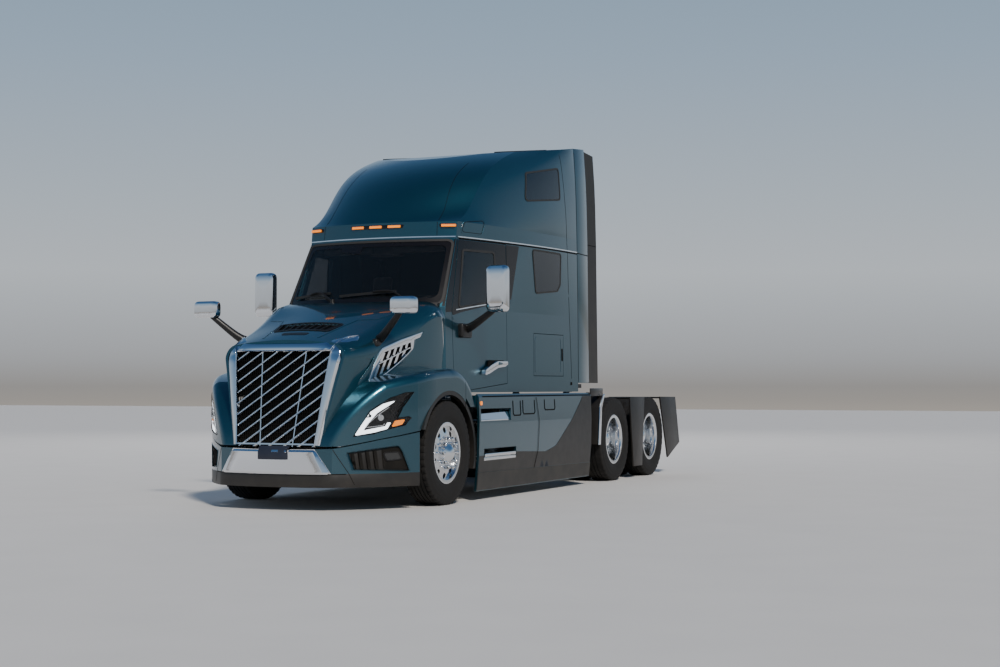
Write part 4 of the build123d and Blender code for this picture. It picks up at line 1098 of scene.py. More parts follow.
class CoveredSkin(Skin):
    """Skin of a node with a hole in it closed by a strip, so that trim can be laid across."""

    STEPS, MARGIN = 30, 0.014

    def __init__(self, node, view, outline):
        super().__init__(node)
        low, high = min(outline)[0], max(outline)[0]
        points, faces = [], []
        for step in range(self.STEPS + 1):
            a = low + (high - low) * min(max(step / self.STEPS, 0.01), 0.99)
            cuts = []
            for (a0, b0), (a1, b1) in zip(outline, outline[1:] + outline[:1]):
                if (a0 - a) * (a1 - a) < 0:
                    cuts.append(b0 + (b1 - b0) * (a - a0) / (a1 - a0))
            points.append(self.meet(view, a, min(cuts) - self.MARGIN)[0])
            points.append(self.meet(view, a, max(cuts) + self.MARGIN)[0])
        for step in range(self.STEPS):
            faces.append((2 * step, 2 * step + 1, 2 * step + 3, 2 * step + 2))
        self.tree = self.grown(points, faces)


# outlines shared with the part: side views as (y, z), front views as (x, z), the top as (x, y)
HEADLAMP = [(0.748, 0.688), (0.863, 0.925), (0.992, 1.045), (1.078, 1.092), (1.124, 1.100), (1.065, 0.965),
            (1.032, 0.860), (1.098, 0.873), (1.104, 0.852), (1.074, 0.788), (0.990, 0.758), (0.890, 0.712)]
VENT_RECESS = [(-1.000, 1.096), (-0.692, 1.526), (-0.010, 1.702), (-0.058, 1.640), (-0.130, 1.594),
               (-0.187, 1.500), (-0.330, 1.376), (-0.560, 1.266)]
TOP_VENT = [(-0.295, -0.830), (0.295, -0.830), (0.353, -0.620), (-0.353, -0.620)]
# outlines of the scene's own pieces
SIDE_VENT = [(-0.852, 1.115), (-0.776, 1.325), (-0.682, 1.480), (-0.642, 1.515), (-0.377, 1.600),
             (-0.006, 1.692), (-0.056, 1.635), (-0.169, 1.604), (-0.180, 1.517), (-0.277, 1.446),
             (-0.408, 1.355), (-0.559, 1.266), (-0.786, 1.164)]
VENT_MOUTH = [(-0.782, 1.186), (-0.624, 1.471), (-0.219, 1.578), (-0.210, 1.512), (-0.295, 1.448),
              (-0.415, 1.368), (-0.565, 1.282)]
AIR_SLOT = [(-0.132, -0.968), (0.132, -0.968), (0.150, -0.905), (-0.150, -0.905)]
LED_ARROW = [(0.764, 0.704), (0.812, 0.802), (0.870, 0.915), (0.950, 0.988), (1.030, 1.022), (0.982, 0.972),
             (0.910, 0.903), (0.846, 0.800), (0.820, 0.744), (0.964, 0.782), (0.976, 0.814), (0.996, 0.817),
             (0.974, 0.757), (0.890, 0.726), (0.774, 0.700)]
LED_LINE = [(0.957, 0.806), (0.950, 0.790), (0.836, 0.772), (0.858, 0.815), (0.918, 0.888), (0.985, 0.957)]
SIGNAL = [(1.022, 0.832), (1.079, 0.845), (1.062, 0.798), (1.000, 0.772)]
# places under the lens: the housing, and what stands in it
HOUSING_LIFT, LAMP_LIFT = -0.020, -0.015
PROJECTOR = (0.935, 0.862)


def headlamps():
    """Dark housing under the clear lens, with its lit arrow, thin inner line, projector and signal."""
    skin = Skin("headlamps")
    housing = laid(skin, "front", [("patch", HEADLAMP, 0, 0.003, 0)], HOUSING_LIFT)
    on_both("lamp_housing", housing, "gloss_black", "hood")
    arrow = laid(skin, "front", [("patch", LED_ARROW, 0, 0.008, 0.006)], LAMP_LIFT)
    on_both("daylight_arrow", arrow, "led", "hood", "lamp")
    line = laid(skin, "front", [("line", LED_LINE, 0.007, 0.007, 0)], LAMP_LIFT)
    on_both("daylight_line", line, "bright", "hood", "chrome")
    signal = laid(skin, "front", [("patch", SIGNAL, 0, 0.008, 0.008)], LAMP_LIFT)
    on_both("turn_signal", signal, "amber", "hood")
    spot, normal = skin.meet("front", *PROJECTOR)
    form = bmesh.new()
    turn = normal.to_track_quat("Z", "Y").to_matrix().to_4x4()
    for radius, depth, back in ((0.034, 0.012, 0.016), (0.027, 0.016, 0.013)):
        disc(form, Matrix.Translation(spot - normal * back) @ turn, radius, depth, radius * 0.86, 32)
    on_both("lamp_projector", form, "chrome", "hood")
    rim = laid(skin, "front", [("loop", HEADLAMP, 0.006, 0.003, 0.006)], 0.0)
    on_both("lamp_seal", rim, "deep_black", "hood")


# the hood's flank under its shoulder, as in the part: y, half width at its foot, half width and height at
# its top
FLANK = [(-1.320, 0.440, 0.506, 1.390), (-0.900, 0.620, 0.728, 1.400), (-0.650, 0.700, 0.772, 1.420),
         (-0.200, 0.800, 0.868, 1.640), (0.400, 0.900, 0.950, 1.790)]
FLANK_FOOT, FLANK_CROWN = 0.600, 0.9
FLANK_NORMAL = (0.97, -0.18, -0.08)


class FlankSkin(Skin):
    """The hood's flank, also where the fender hides it from the side."""

    def __init__(self):
        super().__init__("hood")
        self.line = curved([Vector(row) for row in FLANK], 12)

    def meet(self, view, a, b):
        """Point and outward normal of the flank at (y, z), whatever the view."""
        after = next(i for i, row in enumerate(self.line) if row[0] >= a)
        before_row, after_row = self.line[after - 1], self.line[after]
        row = before_row.lerp(after_row, (a - before_row[0]) / (after_row[0] - before_row[0]))
        _, foot, side, top = row
        rise = (b - FLANK_FOOT) / (top - FLANK_FOOT)
        x = foot + (side - foot) * rise - FLANK_CROWN * max(b - top, 0.0) ** 2
        return at(x, a, b), Vector(FLANK_NORMAL).normalized()


SLAT_WIDTH, SLATS, FINS_ON_TOP = 0.030, 5, 9


def vent_slats():
    """Lower and upper row of leaning slats, and the rail between them."""
    parts = []
    for number in range(SLATS):
        share = number / (SLATS - 1)
        y, z = -0.718 + 0.403 * share, 1.214 + 0.228 * share + 0.012 * math.sin(math.pi * share)
        tip = (y + 0.058 - 0.03 * share, z + 0.139 - 0.08 * share)
        parts.append(("line", [(y - 0.012, z - 0.03), tip], SLAT_WIDTH, 0.008, 0))
        y, z = -0.636 + 0.363 * share, 1.380 + 0.135 * share
        tip = (y + 0.043 - 0.025 * share, z + 0.092 - 0.036 * share)
        parts.append(("line", [(y, z), tip], SLAT_WIDTH, 0.008, 0))
    return parts + [("line", [(-0.700, 1.352), (-0.450, 1.440), (-0.195, 1.533)], 0.010, 0.014, 0)]


def vents():
    """Side vents: bright frame, two rows of leaning slats and a rail; the top vent with its fins."""
    skin = FlankSkin()
    cover = [("plate", [VENT_RECESS, VENT_MOUTH], 0.002, 0.004, 0)]
    on_both("vent_panel", laid(skin, "side", cover), "paint", "hood")
    form = laid(skin, "side", [("plate", [SIDE_VENT, VENT_MOUTH], 0.003, 0.010, 0)])
    on_both("vent_frame", form, "chrome", "hood", "chrome", 40)
    on_both("vent_slats", laid(skin, "side", vent_slats(), -0.016), "bright", "hood", "chrome")
    back = laid(skin, "side", [("patch", VENT_RECESS, 0, 0.003, 0)], -0.024)
    on_both("vent_back", back, "deep_black", "hood", replaced=["hood_vents"])
    skin = CoveredSkin("hood", "top", TOP_VENT)
    parts = [("loop", TOP_VENT, 0.022, 0.006, 0.03)]
    for number in range(FINS_ON_TOP):
        x = -0.272 + 0.068 * number
        parts.append(("line", [(x, -0.822), (x * 1.18, -0.628)], 0.009, 0.006, 0))
    parts.append(("patch", AIR_SLOT, 0, 0.002, 0.02))
    new_piece("top_vent", laid(skin, "top", parts), "black_plastic", "hood")
    back = laid(skin, "top", [("patch", TOP_VENT, 0, 0.003, 0)], -0.020)
    new_piece("top_vent_back", back, "deep_black", "hood")


POCKET = [(0.700, 0.540), (1.035, 0.600), (1.058, 0.545), (1.100, 0.362), (0.742, 0.385)]
POCKET_FLOOR = [(0.918, 0.570), (1.024, 0.588), (1.046, 0.540), (1.080, 0.378), (0.930, 0.388)]
FOG_LAMP = [(0.925, 0.536), (1.018, 0.544), (1.040, 0.474), (0.948, 0.462)]
NUMBER_PLATE = [(-0.115, 0.478), (0.190, 0.478), (0.190, 0.580), (-0.115, 0.580)]
PLATE_FOOT, PLATE_RISE, PLATE_ROWS = 0.345, 0.222, 12


def bumper_plate(skin):
    """Polished plate over the bumper's middle, its sides folded back."""
    rows = []
    for step in range(PLATE_ROWS + 1):
        z = PLATE_FOOT + PLATE_RISE * step / PLATE_ROWS
        outer = 0.600 - 0.175 * (z - 0.340) / 0.260
        fold = 0.530 - 0.105 * (z - 0.349) / 0.214
        lip = 0.004 if 0 < step < PLATE_ROWS else -0.006
        left = [(fold - 0.012, lip + 0.018), (fold, lip + 0.016), (outer - 0.006, lip), (outer, -0.004)]
        flat = [(fold * share, lip + 0.018) for share in (-0.75, -0.5, -0.25, 0, 0.25, 0.5, 0.75)]
        row = []
        for x, height in [(-x, height) for x, height in reversed(left)] + flat + left:
            spot, normal = skin.meet("front", x, z)
            row.append(spot + Vector((normal.x, normal.y, 0)).normalized() * height)
        rows.append(row)
    new_piece("bumper_plate", skinned(bmesh.new(), rows, closed=False), "chrome", "tractor", "chrome", 20)


def bumper_trim():
    """Polished plate, a blank number plate, dark seams, and the lamp pockets."""
    skin = Skin("bumper_chrome", "bumper", "bumper_valance")
    bumper_plate(skin)
    base = Skin("bumper_chrome")
    blank = laid(base, "front", [("patch", NUMBER_PLATE, 0.002, 0.006, 0.008)], 0.026)
    new_piece("number_plate_blank", blank, "plate_blue", "tractor")
    seams = [("line", [(0.604, 0.573), (0.719, 0.350), (0.758, 0.246)], 0.005, 0.001, 0)]
    on_both("bumper_seams", laid(skin, "front", seams), "deep_black", "tractor")
    back = Skin("bumper_valance")
    parts = []
    for number in range(4):
        x = 0.728 + 0.048 * number
        parts.append(("line", [(x + 0.016, 0.392), (x, 0.534 + 0.008 * number)], 0.020, 0.020, 0))
    parts.append(("patch", POCKET_FLOOR, 0.002, 0.008, 0.012))
    on_both("pocket_slats", laid(back, "front", parts), "deep_black", "tractor")
    rim = laid(back, "front", [("loop", FOG_LAMP, 0.010, 0.006, 0.018)], 0.009)
    on_both("fog_lamp_rim", rim, "gloss_black", "tractor")
    lamp = laid(back, "front", [("patch", FOG_LAMP, 0, 0.003, 0.018)], 0.009)
    on_both("fog_lamp", lamp, "lamp_glass", "tractor", "lamp")
    rim = laid(skin, "front", [("loop", POCKET, 0.010, 0.004, 0.012)], 0.0)
    on_both("pocket_rim", rim, "paint", "tractor")
    lip = [("line", [(x / 20, 0.346) for x in range(-14, 15)], 0.008, 0.002, 0)]
    new_piece("valance_seam", laid(skin, "front", lip), "deep_black", "tractor")


DOOR_WINDOW = [(0.655, 1.950), (0.860, 2.555), (1.400, 2.565), (1.400, 2.045)]
SLEEPER_WINDOW = [(2.180, 2.652), (2.872, 2.652), (2.872, 2.300), (2.800, 2.228), (2.275, 2.178)]
UPPER_WINDOW = [(2.165, 3.500), (2.870, 3.632), (2.865, 3.272), (2.060, 3.180)]
WINDSHIELD = [(-0.893, 1.975), (-0.842, 2.650), (0.842, 2.650), (0.893, 1.975)]
WINDSHIELD_CLEAR = [(-0.838, 2.040), (-0.792, 2.596), (0.792, 2.596), (0.838, 2.040)]
HANDLE = [(1.050, 1.266), (1.072, 1.322), (1.190, 1.372), (1.330, 1.414), (1.548, 1.416), (1.556, 1.388),
          (1.500, 1.362), (1.330, 1.345), (1.150, 1.285)]
HANDLE_RECESS = [(1.165, 1.345), (1.200, 1.425), (1.535, 1.425), (1.560, 1.362)]
# the door's side near its handle: half width at a y, and how much it widens to the rear
DOOR_X, DOOR_Y, DOOR_FLARE = 1.024, 1.05, 0.068

# folds round the skirt's three scoops, along which near-black lines are laid as painted shade
SCOOPS = [
    [(1.445, 1.000), (1.452, 0.865), (1.474, 0.846), (1.628, 0.846), (1.648, 0.865), (1.640, 1.000)],
    [(1.705, 1.004), (1.708, 0.876), (1.730, 0.857), (2.005, 0.857), (2.030, 0.876), (2.018, 1.004)],
    [(2.300, 1.006), (2.304, 0.912), (2.326, 0.893), (2.576, 0.893), (2.600, 0.912), (2.590, 1.006)],
]
# laid trim: name, body, nodes under it, view, finish, lift, whether it is on both sides, then its parts as
# kind, outline, width or edge rounding, height and corner radius; a body with {} has one piece on each side
TRIM = [
    ("windshield_border", "tractor", ("cab_glass", "cab_shell"), "front", "gloss_black", TRIM_LIFT, False,
     [("plate", [WINDSHIELD, WINDSHIELD_CLEAR], 0, 0.0012, 0.07),
      ("patch", [(-0.399, 2.62), (-0.377, 2.552), (-0.133, 2.521), (-0.123, 2.62)], 0, 0.003, 0.01)]),
    ("windshield_seal", "tractor", ("cab_glass", "cab_shell"), "front", "rubber", 0.0004, False,
     [("loop", WINDSHIELD, 0.024, 0.007, 0.07)]),
    ("brow_line", "tractor", ("roof",), "front", "bright", TRIM_LIFT, False,
     [("line", [(-0.855, 2.690), (-0.4, 2.690), (0.4, 2.690), (0.855, 2.690)], 0.011, 0.006, 0)]),
    ("roof_side_line", "tractor", ("roof", "sleeper_shell"), "side", "bright", TRIM_LIFT, True,
     [("line", [(0.815, 2.690), (1.6, 2.694), (2.4, 2.700), (3.345, 2.708)], 0.011, 0.006, 0)]),
    ("roof_side_gap", "tractor", ("roof", "sleeper_shell"), "side", "deep_black", 0.0004, True,
     [("line", [(0.805, 2.674), (1.6, 2.678), (2.4, 2.684), (3.345, 2.690)], 0.016, 0.0015, 0)]),
    ("a_pillar_side", "tractor", ("cab_shell",), "side", "gloss_black", TRIM_LIFT, True,
     [("patch", [(0.418, 1.895), (0.523, 1.900), (0.523, 1.938), (0.808, 2.664), (0.795, 2.666),
                 (0.424, 1.975)], 0, 0.0015, 0)]),
    ("a_pillar_front", "tractor", ("cab_shell",), "front", "gloss_black", TRIM_LIFT, True,
     [("patch", [(0.897, 1.955), (0.921, 1.955), (0.859, 2.664), (0.846, 2.664)], 0, 0.0015, 0)]),
    ("b_pillar", "tractor", ("cab_shell", "sleeper_shell"), "side", "gloss_black", TRIM_LIFT, True,
     [("patch", [(1.633, 2.664), (1.889, 2.664), (1.726, 2.082), (1.633, 2.070)], 0, 0.0015, 0.004)]),
    ("door_mask", "door_{}", ("door_left_panel", "door_left_glass"), "side", "gloss_black", TRIM_LIFT, True,
     [("plate", [[(0.534, 1.865), (0.534, 1.935), (0.820, 2.660), (1.621, 2.660), (1.621, 2.058),
                  (0.700, 1.905)], [(0.660, 1.954), (0.863, 2.550), (1.395, 2.560), (1.395, 2.049)]],
       0, 0.0015, 0.03)]),
    ("door_window_seal", "door_{}", ("door_left_panel", "door_left_glass"), "side", "rubber", TRIM_LIFT, True,
     [("loop", DOOR_WINDOW, 0.022, 0.006, 0.04)]),
    ("door_window_line", "door_{}", ("door_left_panel", "door_left_glass"), "side", "bright", 0.002, True,
     [("line", [(0.600, 1.926), (1.0, 1.980), (1.425, 2.034)], 0.010, 0.006, 0)]),
    ("door_crease", "door_{}", ("door_left_panel",), "side", "paint", TRIM_SINK, True,
     [("line", [(0.545, 1.838), (1.037, 1.930), (1.615, 2.028)], 0.030, 0.004, 0)]),
    ("door_seams", "door_{}", ("door_left_panel",), "side", "deep_black", 0.0004, True,
     [("patch", [(0.775, 1.122), (0.812, 1.125), (0.812, 1.165), (0.775, 1.162)], 0, 0.004, 0.006)]),
    ("sleeper_crease", "tractor", ("sleeper_shell", "baggage_door_left"), "side", "paint", TRIM_SINK, True,
     [("line", [(1.700, 2.050), (2.276, 2.136), (3.232, 2.199)], 0.030, 0.004, 0)]),
    ("sleeper_seals", "tractor", ("sleeper_shell", "cab_glass", "roof"), "side", "rubber", TRIM_LIFT, True,
     [("loop", SLEEPER_WINDOW, 0.018, 0.005, 0.04), ("loop", UPPER_WINDOW, 0.018, 0.005, 0.045)]),
    ("sleeper_tint", "tractor", ("sleeper_shell", "cab_glass", "roof"), "side", "privacy_glass", 0.0008, True,
     [("patch", SLEEPER_WINDOW, 0, 0.001, 0.04), ("patch", UPPER_WINDOW, 0, 0.001, 0.045)]),
    ("door_tint", "door_{}", ("door_left_panel", "door_left_glass"), "side", "side_glass", 0.0002, True,
     [("patch", DOOR_WINDOW, 0, 0.001, 0.04)]),
    ("sleeper_seams", "tractor", ("sleeper_shell", "roof"), "side", "deep_black", 0.0004, True,
     [("line", [(2.940, 3.800), (2.985, 3.450), (3.040, 2.914), (3.140, 1.809), (3.180, 1.240)],
       0.005, 0.001, 0),
      ("patch", [(3.150, 1.165), (3.185, 1.165), (3.185, 1.200), (3.150, 1.200)], 0, 0.004, 0.006)]),
    ("baggage_latch", "baggage_door_{}", ("baggage_door_left",), "side", "deep_black", 0.0004, True,
     [("patch", [(2.912, 1.578), (2.944, 1.578), (2.950, 1.437), (2.918, 1.437)], 0, 0.003, 0.008)]),
    ("baggage_bead", "baggage_door_{}", ("baggage_door_left",), "side", "paint", TRIM_SINK, True,
     [("loop", [(2.270, 1.300), (2.270, 1.700), (2.900, 1.700), (2.900, 1.300)], 0.010, 0.003, 0.05)]),
    ("marker_slot", "tractor", ("roof",), "front", "gloss_black", 0.0004, False,
     [("patch", [(-0.292, 2.788), (0.300, 2.788), (0.318, 2.824), (-0.310, 2.824)], 0.002, 0.005, 0.012)]),
    ("marker_side_slots", "tractor", ("roof",), "front", "gloss_black", 0.0004, True,
     [("patch", [(0.696, 2.788), (0.856, 2.788), (0.860, 2.824), (0.682, 2.824)], 0.002, 0.005, 0.012)]),
    ("roof_front_seams", "tractor", ("roof",), "front", "deep_black", 0.0004, True,
     [("line", [(0.668, 2.702), (0.664, 2.990), (0.640, 3.200), (0.623, 3.400), (0.625, 3.560)],
       0.004, 0.001, 0)]),
    ("roof_recess", "tractor", ("roof",), "side", "deep_black", 0.0004, True,
     [("loop", [(0.870, 2.745), (0.930, 2.850), (1.260, 2.890), (1.200, 2.745)], 0.005, 0.001, 0.035)]),
    ("roof_recess_lip", "tractor", ("roof",), "side", "paint", TRIM_SINK, True,
     [("loop", [(0.850, 2.732), (0.915, 2.864), (1.285, 2.905), (1.215, 2.732)], 0.012, 0.003, 0.04)]),
    ("roof_top_rails", "tractor", ("roof",), "top", "black_plastic", -0.002, True,
     [("line", [(0.700, 2.150), (0.735, 2.500), (0.760, 2.900), (0.770, 3.320)], 0.070, 0.014, 0)]),
    ("skirt_mask", "tractor", ("side_skirts",), "side", "black_plastic", TRIM_LIFT, True,
     [("plate", [[(0.622, 0.448), (0.724, 0.452), (0.724, 0.418), (1.536, 0.418), (1.536, 0.466),
                  (2.342, 0.436), (2.630, 0.492), (3.078, 0.758), (3.362, 0.964), (3.450, 1.040),
                  (3.712, 1.040), (3.712, 0.262), (0.622, 0.286)]], 0, 0.0022, 0)]),
    ("skirt_rubber", "tractor", ("side_skirts",), "side", "rubber", TRIM_LIFT, True,
     [("plate", [[(0.616, 0.284), (3.716, 0.258), (3.716, 0.104), (0.616, 0.104)]], 0, 0.006, 0)]),
    ("skirt_seam", "tractor", ("side_skirts",), "side", "deep_black", 0.0045, True,
     [("line", [(2.071, 1.030), (2.140, 0.773), (2.116, 0.467), (1.978, 0.108)], 0.007, 0.002, 0)]),
    # near-black lines along the scoops' folds: painted shade of the recesses
    ("skirt_scoop_painted_shade", "tractor", ("side_skirts",), "side", "deep_black", 0.0004, True,
     [("line", outline, 0.014, 0.003, 0) for outline in SCOOPS]),
    ("skirt_top_gap", "tractor", ("side_skirts",), "side", "deep_black", 0.0004, True,
     [("line", [(0.700, 1.046), (1.445, 1.050), (3.700, 1.050)], 0.012, 0.002, 0)]),
    ("skirt_marker", "tractor", ("side_skirts",), "side", "amber", 0.0, True,
     [("patch", [(0.640, 0.960), (0.680, 0.960), (0.680, 1.000), (0.640, 1.000)], 0.002, 0.008, 0.018)]),
    ("hood_ridges", "hood", ("hood",), "top", "paint", TRIM_SINK, True,
     [("line", [(0.300, -1.020), (0.375, -0.620), (0.420, -0.480)], 0.016, 0.004, 0),
      ("line", [(0.430, -0.470), (0.600, -0.400), (0.720, -0.200), (0.800, 0.050)], 0.016, 0.004, 0)]),
    # a low bead in bright metal along the hood's rear edge: a painted highlight where the edge catches the
    # light
    ("hood_rear_painted_highlight", "hood", ("hood",), "side", "bright", TRIM_SINK, True,
     [("line", [(0.232, 1.900), (0.262, 1.840), (0.300, 1.700), (0.330, 1.560), (0.340, 1.400)],
       0.008, 0.004, 0)]),
    ("extender_bead", "tractor", ("side_extenders",), "side", "deep_black", 0.0004, True,
     [("line", [(3.362, 1.200), (3.362, 2.200), (3.362, 3.300), (3.362, 3.880)], 0.008, 0.001, 0),
      ("line", [(3.355, 2.700), (3.690, 2.694)], 0.010, 0.001, 0)]),
    ("flap_seams", "tractor", ("extender_flaps",), "side", "deep_black", 0.0004, True,
     [("line", [(3.705, 2.824), (3.998, 2.824)], 0.008, 0.001, 0)]),
]


def trim():
    """Everything in the table of laid trim."""
    for name, body, nodes, view, finish, lift, mirrored, parts in TRIM:
        form = laid(Skin(*nodes), view, parts, lift)
        if mirrored:
            on_both(name, form, finish, body)
        else:
            new_piece(name, form, finish, body)


def handles():
    """Bright wing handles over a dark recess on the doors."""
    for name, outline, finish, height, soft in (
            ("door_handle", HANDLE, "chrome", 0.046, 0.010),
            ("door_handle_recess", HANDLE_RECESS, "deep_black", 0.006, 0.0)):
        form = raised(refined(sheet(rounded(outline, 0.02)), 0.2), height, soft, 3)
        for vert in form.verts:
            a, b, h = vert.co
            vert.co = at(DOOR_X + DOOR_FLARE * (a - DOOR_Y) + h, a, b)
        on_both(name, form, finish, "door_{}")


def head_loops(centre, half_x, half_z, radius, rows):
    """Rounded rectangles across y that shape a mirror's head."""
    loops = []
    for depth, share in rows:
        x, z = half_x * share, half_z * share
        outline = rounded([(-x, -z), (x, -z), (x, z), (-x, z)], radius * share, 6)
        loops.append([at(centre[0] + a, centre[1] + depth, centre[2] + b) for a, b in outline])
    return loops


MIRRORS = [
    # name, body, node, head's middle, half sizes, corner,
    # arm's foot and head, arm radii, foot's block
    ("door_mirror", "door_{}", "door_{}_mirror", (1.374, 0.690, 2.135), (0.118, 0.238), 0.055,
     (0.975, 0.770, 1.735), (1.340, 0.705, 1.930), (0.052, 0.028),
     ((0.935, 0.640, 1.645), (1.012, 0.870, 1.790))),
    ("hood_mirror", "hood", "hood_mirrors", (1.095, -0.800, 1.908), (0.134, 0.082), 0.05,
     (0.730, -0.620, 1.590), (1.075, -0.795, 1.870), (0.050, 0.026),
     ((0.690, -0.735, 1.520), (0.775, -0.525, 1.600))),
]
# the head from front to back, its black rear edge and its glass, as (how far back, share of the full size)
MIRROR_HEAD = [(-0.047, 0.30), (-0.0465, 0.62), (-0.043, 0.84), (-0.034, 0.95), (-0.018, 0.99), (0.010, 1.0),
               (0.026, 0.995), (0.026, 0.90)]
MIRROR_EDGE = [(0.024, 0.5), (0.024, 0.985), (0.040, 0.98), (0.046, 0.955), (0.046, 0.90), (0.040, 0.89),
               (0.040, 0.5)]
MIRROR_GLASS = [(0.0395, 0.905), (0.0425, 0.89), (0.0425, 0.3)]


def mirrors():
    """Chrome heads with a black rear edge and a mirror glass, on tapered black arms."""
    for name, body, node, centre, (half_x, half_z), corner, foot, head, (thick, thin), base in MIRRORS:
        shell = bmesh.new()
        skinned(shell, head_loops(centre, half_x, half_z, corner, MIRROR_HEAD), ends=True)
        on_both(f"{name}_head", shell, "chrome", body, "chrome", 40)
        back = bmesh.new()
        skinned(back, head_loops(centre, half_x, half_z, corner, MIRROR_EDGE), ends=True)
        path = [at(*foot), at(*foot).lerp(at(*head), 0.3) + Vector((0, -0.01, -0.02)), at(*head)]
        tube(back, curved(path, 6), thick, 16, scales=[1 - (1 - thin / thick) * i / 12 for i in range(13)])
        low, high = base
        block(back, at(*low), at(*high), 0.022, 3)
        on_both(f"{name}_arm", back, "black_plastic", body, "black_plastic", 40, [node])
        glass = bmesh.new()
        skinned(glass, head_loops(centre, half_x, half_z, corner, MIRROR_GLASS), ends=True)
        on_both(f"{name}_glass", glass, "mirror_glass", body, "chrome", 40)


WIPERS = [
    # pivot, elbow, end of the arm, both ends of the blade, as (x, z) on the windshield
    ((-0.235, 1.990), (-0.420, 2.085), (-0.560, 2.078), (-0.800, 2.062), (-0.310, 2.098)),
    ((0.560, 1.990), (0.400, 2.080), (0.200, 2.088), (-0.180, 2.060), (0.430, 2.102)),
]
WIPER_SECTION = [(-0.008, -0.016), (0.008, -0.016), (0.006, 0.010), (-0.006, 0.010)]


def wipers():
    """Two wipers on the windshield's foot."""
    skin = Skin("cab_glass", "cab_shell", "cowl")

    def on_glass(x, z, lift):
        """Point over the windshield."""
        spot, normal = skin.meet("front", x, z)
        return spot + normal * lift

    form = bmesh.new()
    for pivot, elbow, tip, start, end in WIPERS:
        arm = [on_glass(*pivot, 0.045), on_glass(*elbow, 0.050), on_glass(*tip, 0.034)]
        tube(form, curved(arm, 6), 0.011, 8)
        blade = [on_glass(start[0] + (end[0] - start[0]) * i / 14, start[1] + (end[1] - start[1]) * i / 14,
                          0.020) for i in range(15)]
        swept(form, blade, WIPER_SECTION)
        disc(form, Matrix.Translation(on_glass(*pivot, 0.03)), 0.028, 0.06, 0.020, 20)
    new_piece("wipers", form, "black_plastic", "tractor")


# outer edge of the upper step's sloped lip, as (x, z in front, z behind)
STEP_LIP = [(1.200, 0.812, 0.812), (1.176, 0.872, 0.888), (1.150, 0.872, 0.888), (1.150, 0.812, 0.812)]
STRIP = [(3.915, 0.455), (3.962, 0.900), (4.076, 1.046), (4.132, 1.060), (4.030, 0.890), (3.985, 0.455)]
STRIP_X = 1.214
GRIP_STEP, GRIP_ROW = 0.05, 0.042


def steps_and_strips():
    """Bright lips on the steps, the strips ahead of the drive wheels and the bare plate behind the cab."""
    form = bmesh.new()
    block(form, at(1.176, 0.664, 0.786), at(1.206, 1.376, 0.816), 0.006)
    block(form, at(1.150, 0.752, 0.436), at(1.215, 1.512, 0.472), 0.010)
    strip = raised(sheet(STRIP), 0.014, 0.004)
    for vert in strip.verts:
        a, b, h = vert.co
        vert.co = at(STRIP_X + h, a, b)
    bmesh.ops.recalc_face_normals(strip, faces=strip.faces)
    slope = bmesh.new()
    skinned(slope, [[at(x, 0.664, front_z), at(x, 1.376, back_z)] for x, front_z, back_z in STEP_LIP],
            closed=False)
    joined(form, slope)
    on_both("bright_steps", joined(form, strip), "chrome", "tractor", "chrome")
    form = bmesh.new()
    block(form, at(1.186, 3.724, 1.036), at(1.196, 4.140, 1.128), 0.004)
    block(form, at(1.150, 4.050, 0.990), at(1.188, 4.110, 1.080), 0.004)
    block(form, at(1.150, 3.690, 1.010), at(1.188, 3.750, 1.080), 0.004)
    on_both("bare_side_plate", form, "gloss_black", "tractor")
    form = bmesh.new()
    for low_z, y0, y1, wide in ((0.808, 0.67, 1.37, 1.19), (0.433, 0.76, 1.50, 1.20)):
        for row in range(4):
            for number in range(int((y1 - y0) / GRIP_STEP)):
                y = y0 + 0.035 + number * GRIP_STEP
                x = wide - 0.035 - row * GRIP_ROW
                low, high = at(x - 0.012, y - 0.016, low_z), at(x + 0.012, y + 0.016, low_z + 0.004)
                block(form, low, high, 0.0015, 1)
    on_both("step_grips", form, "brushed", "tractor", "aluminium")


surround()
headlamps()
vents()
bumper_trim()
trim()
handles()
mirrors()
wipers()
steps_and_strips()


def baked(piece):
    """Mesh of a piece with its modifiers applied."""
    return bpy.data.meshes.new_from_object(piece.evaluated_get(bpy.context.evaluated_depsgraph_get()))


CLOTH_FRAMES, CLOTH_PRESSURE = 14, 4.0


def swollen(form, cell, cap):
    """Closed form that cloth under pressure swells, no point moving further than a cap."""
    mesh = bpy.data.meshes.new("pad")
    form.to_mesh(mesh)
    form.free()
    pad = bpy.data.objects.new("pad", mesh)
    bpy.context.scene.collection.objects.link(pad)
    remesh = pad.modifiers.new("even", "REMESH")
    remesh.mode, remesh.voxel_size = "VOXEL", cell
    pad.data = baked(pad)
    pad.modifiers.clear()
    start = [vert.co.copy() for vert in pad.data.vertices]
    cloth = pad.modifiers.new("cloth", "CLOTH")
    cloth.settings.use_pressure = True
    cloth.settings.uniform_pressure_force = CLOTH_PRESSURE
    cloth.settings.effector_weights.gravity = 0.0
    for number in range(1, CLOTH_FRAMES + 1):
        bpy.context.scene.frame_set(number)
    pad.data = baked(pad)
    pad.modifiers.clear()
    bpy.context.scene.frame_set(1)
    for vert, origin in zip(pad.data.vertices, start):
        move = vert.co - origin
        if move.length > cap:
            vert.co = origin + move.normalized() * cap
    result = bmesh.new()
    result.from_mesh(pad.data)
    bpy.data.objects.remove(pad)
    return result


# pads of the left seat: name, two corners, rounding, whether they lean with the back
SEAT_PADS = [
    ("seat_cushion", (0.245, 1.085, 1.512), (0.715, 1.545, 1.612), 0.040, False),
    ("seat_back", (0.255, -0.045, 0.010), (0.705, 0.045, 0.575), 0.035, True),
    ("headrest", (0.365, -0.035, 0.612), (0.595, 0.045, 0.780), 0.035, True),
]
SEAT_HINGE, SEAT_LEAN, PAD_FILL = (0, 1.535, 1.600), -0.20, 0.8
SEAT_CELL, SEAT_SWELL, MATTRESS_CELL, MATTRESS_SWELL = 0.014, 0.012, 0.028, 0.010


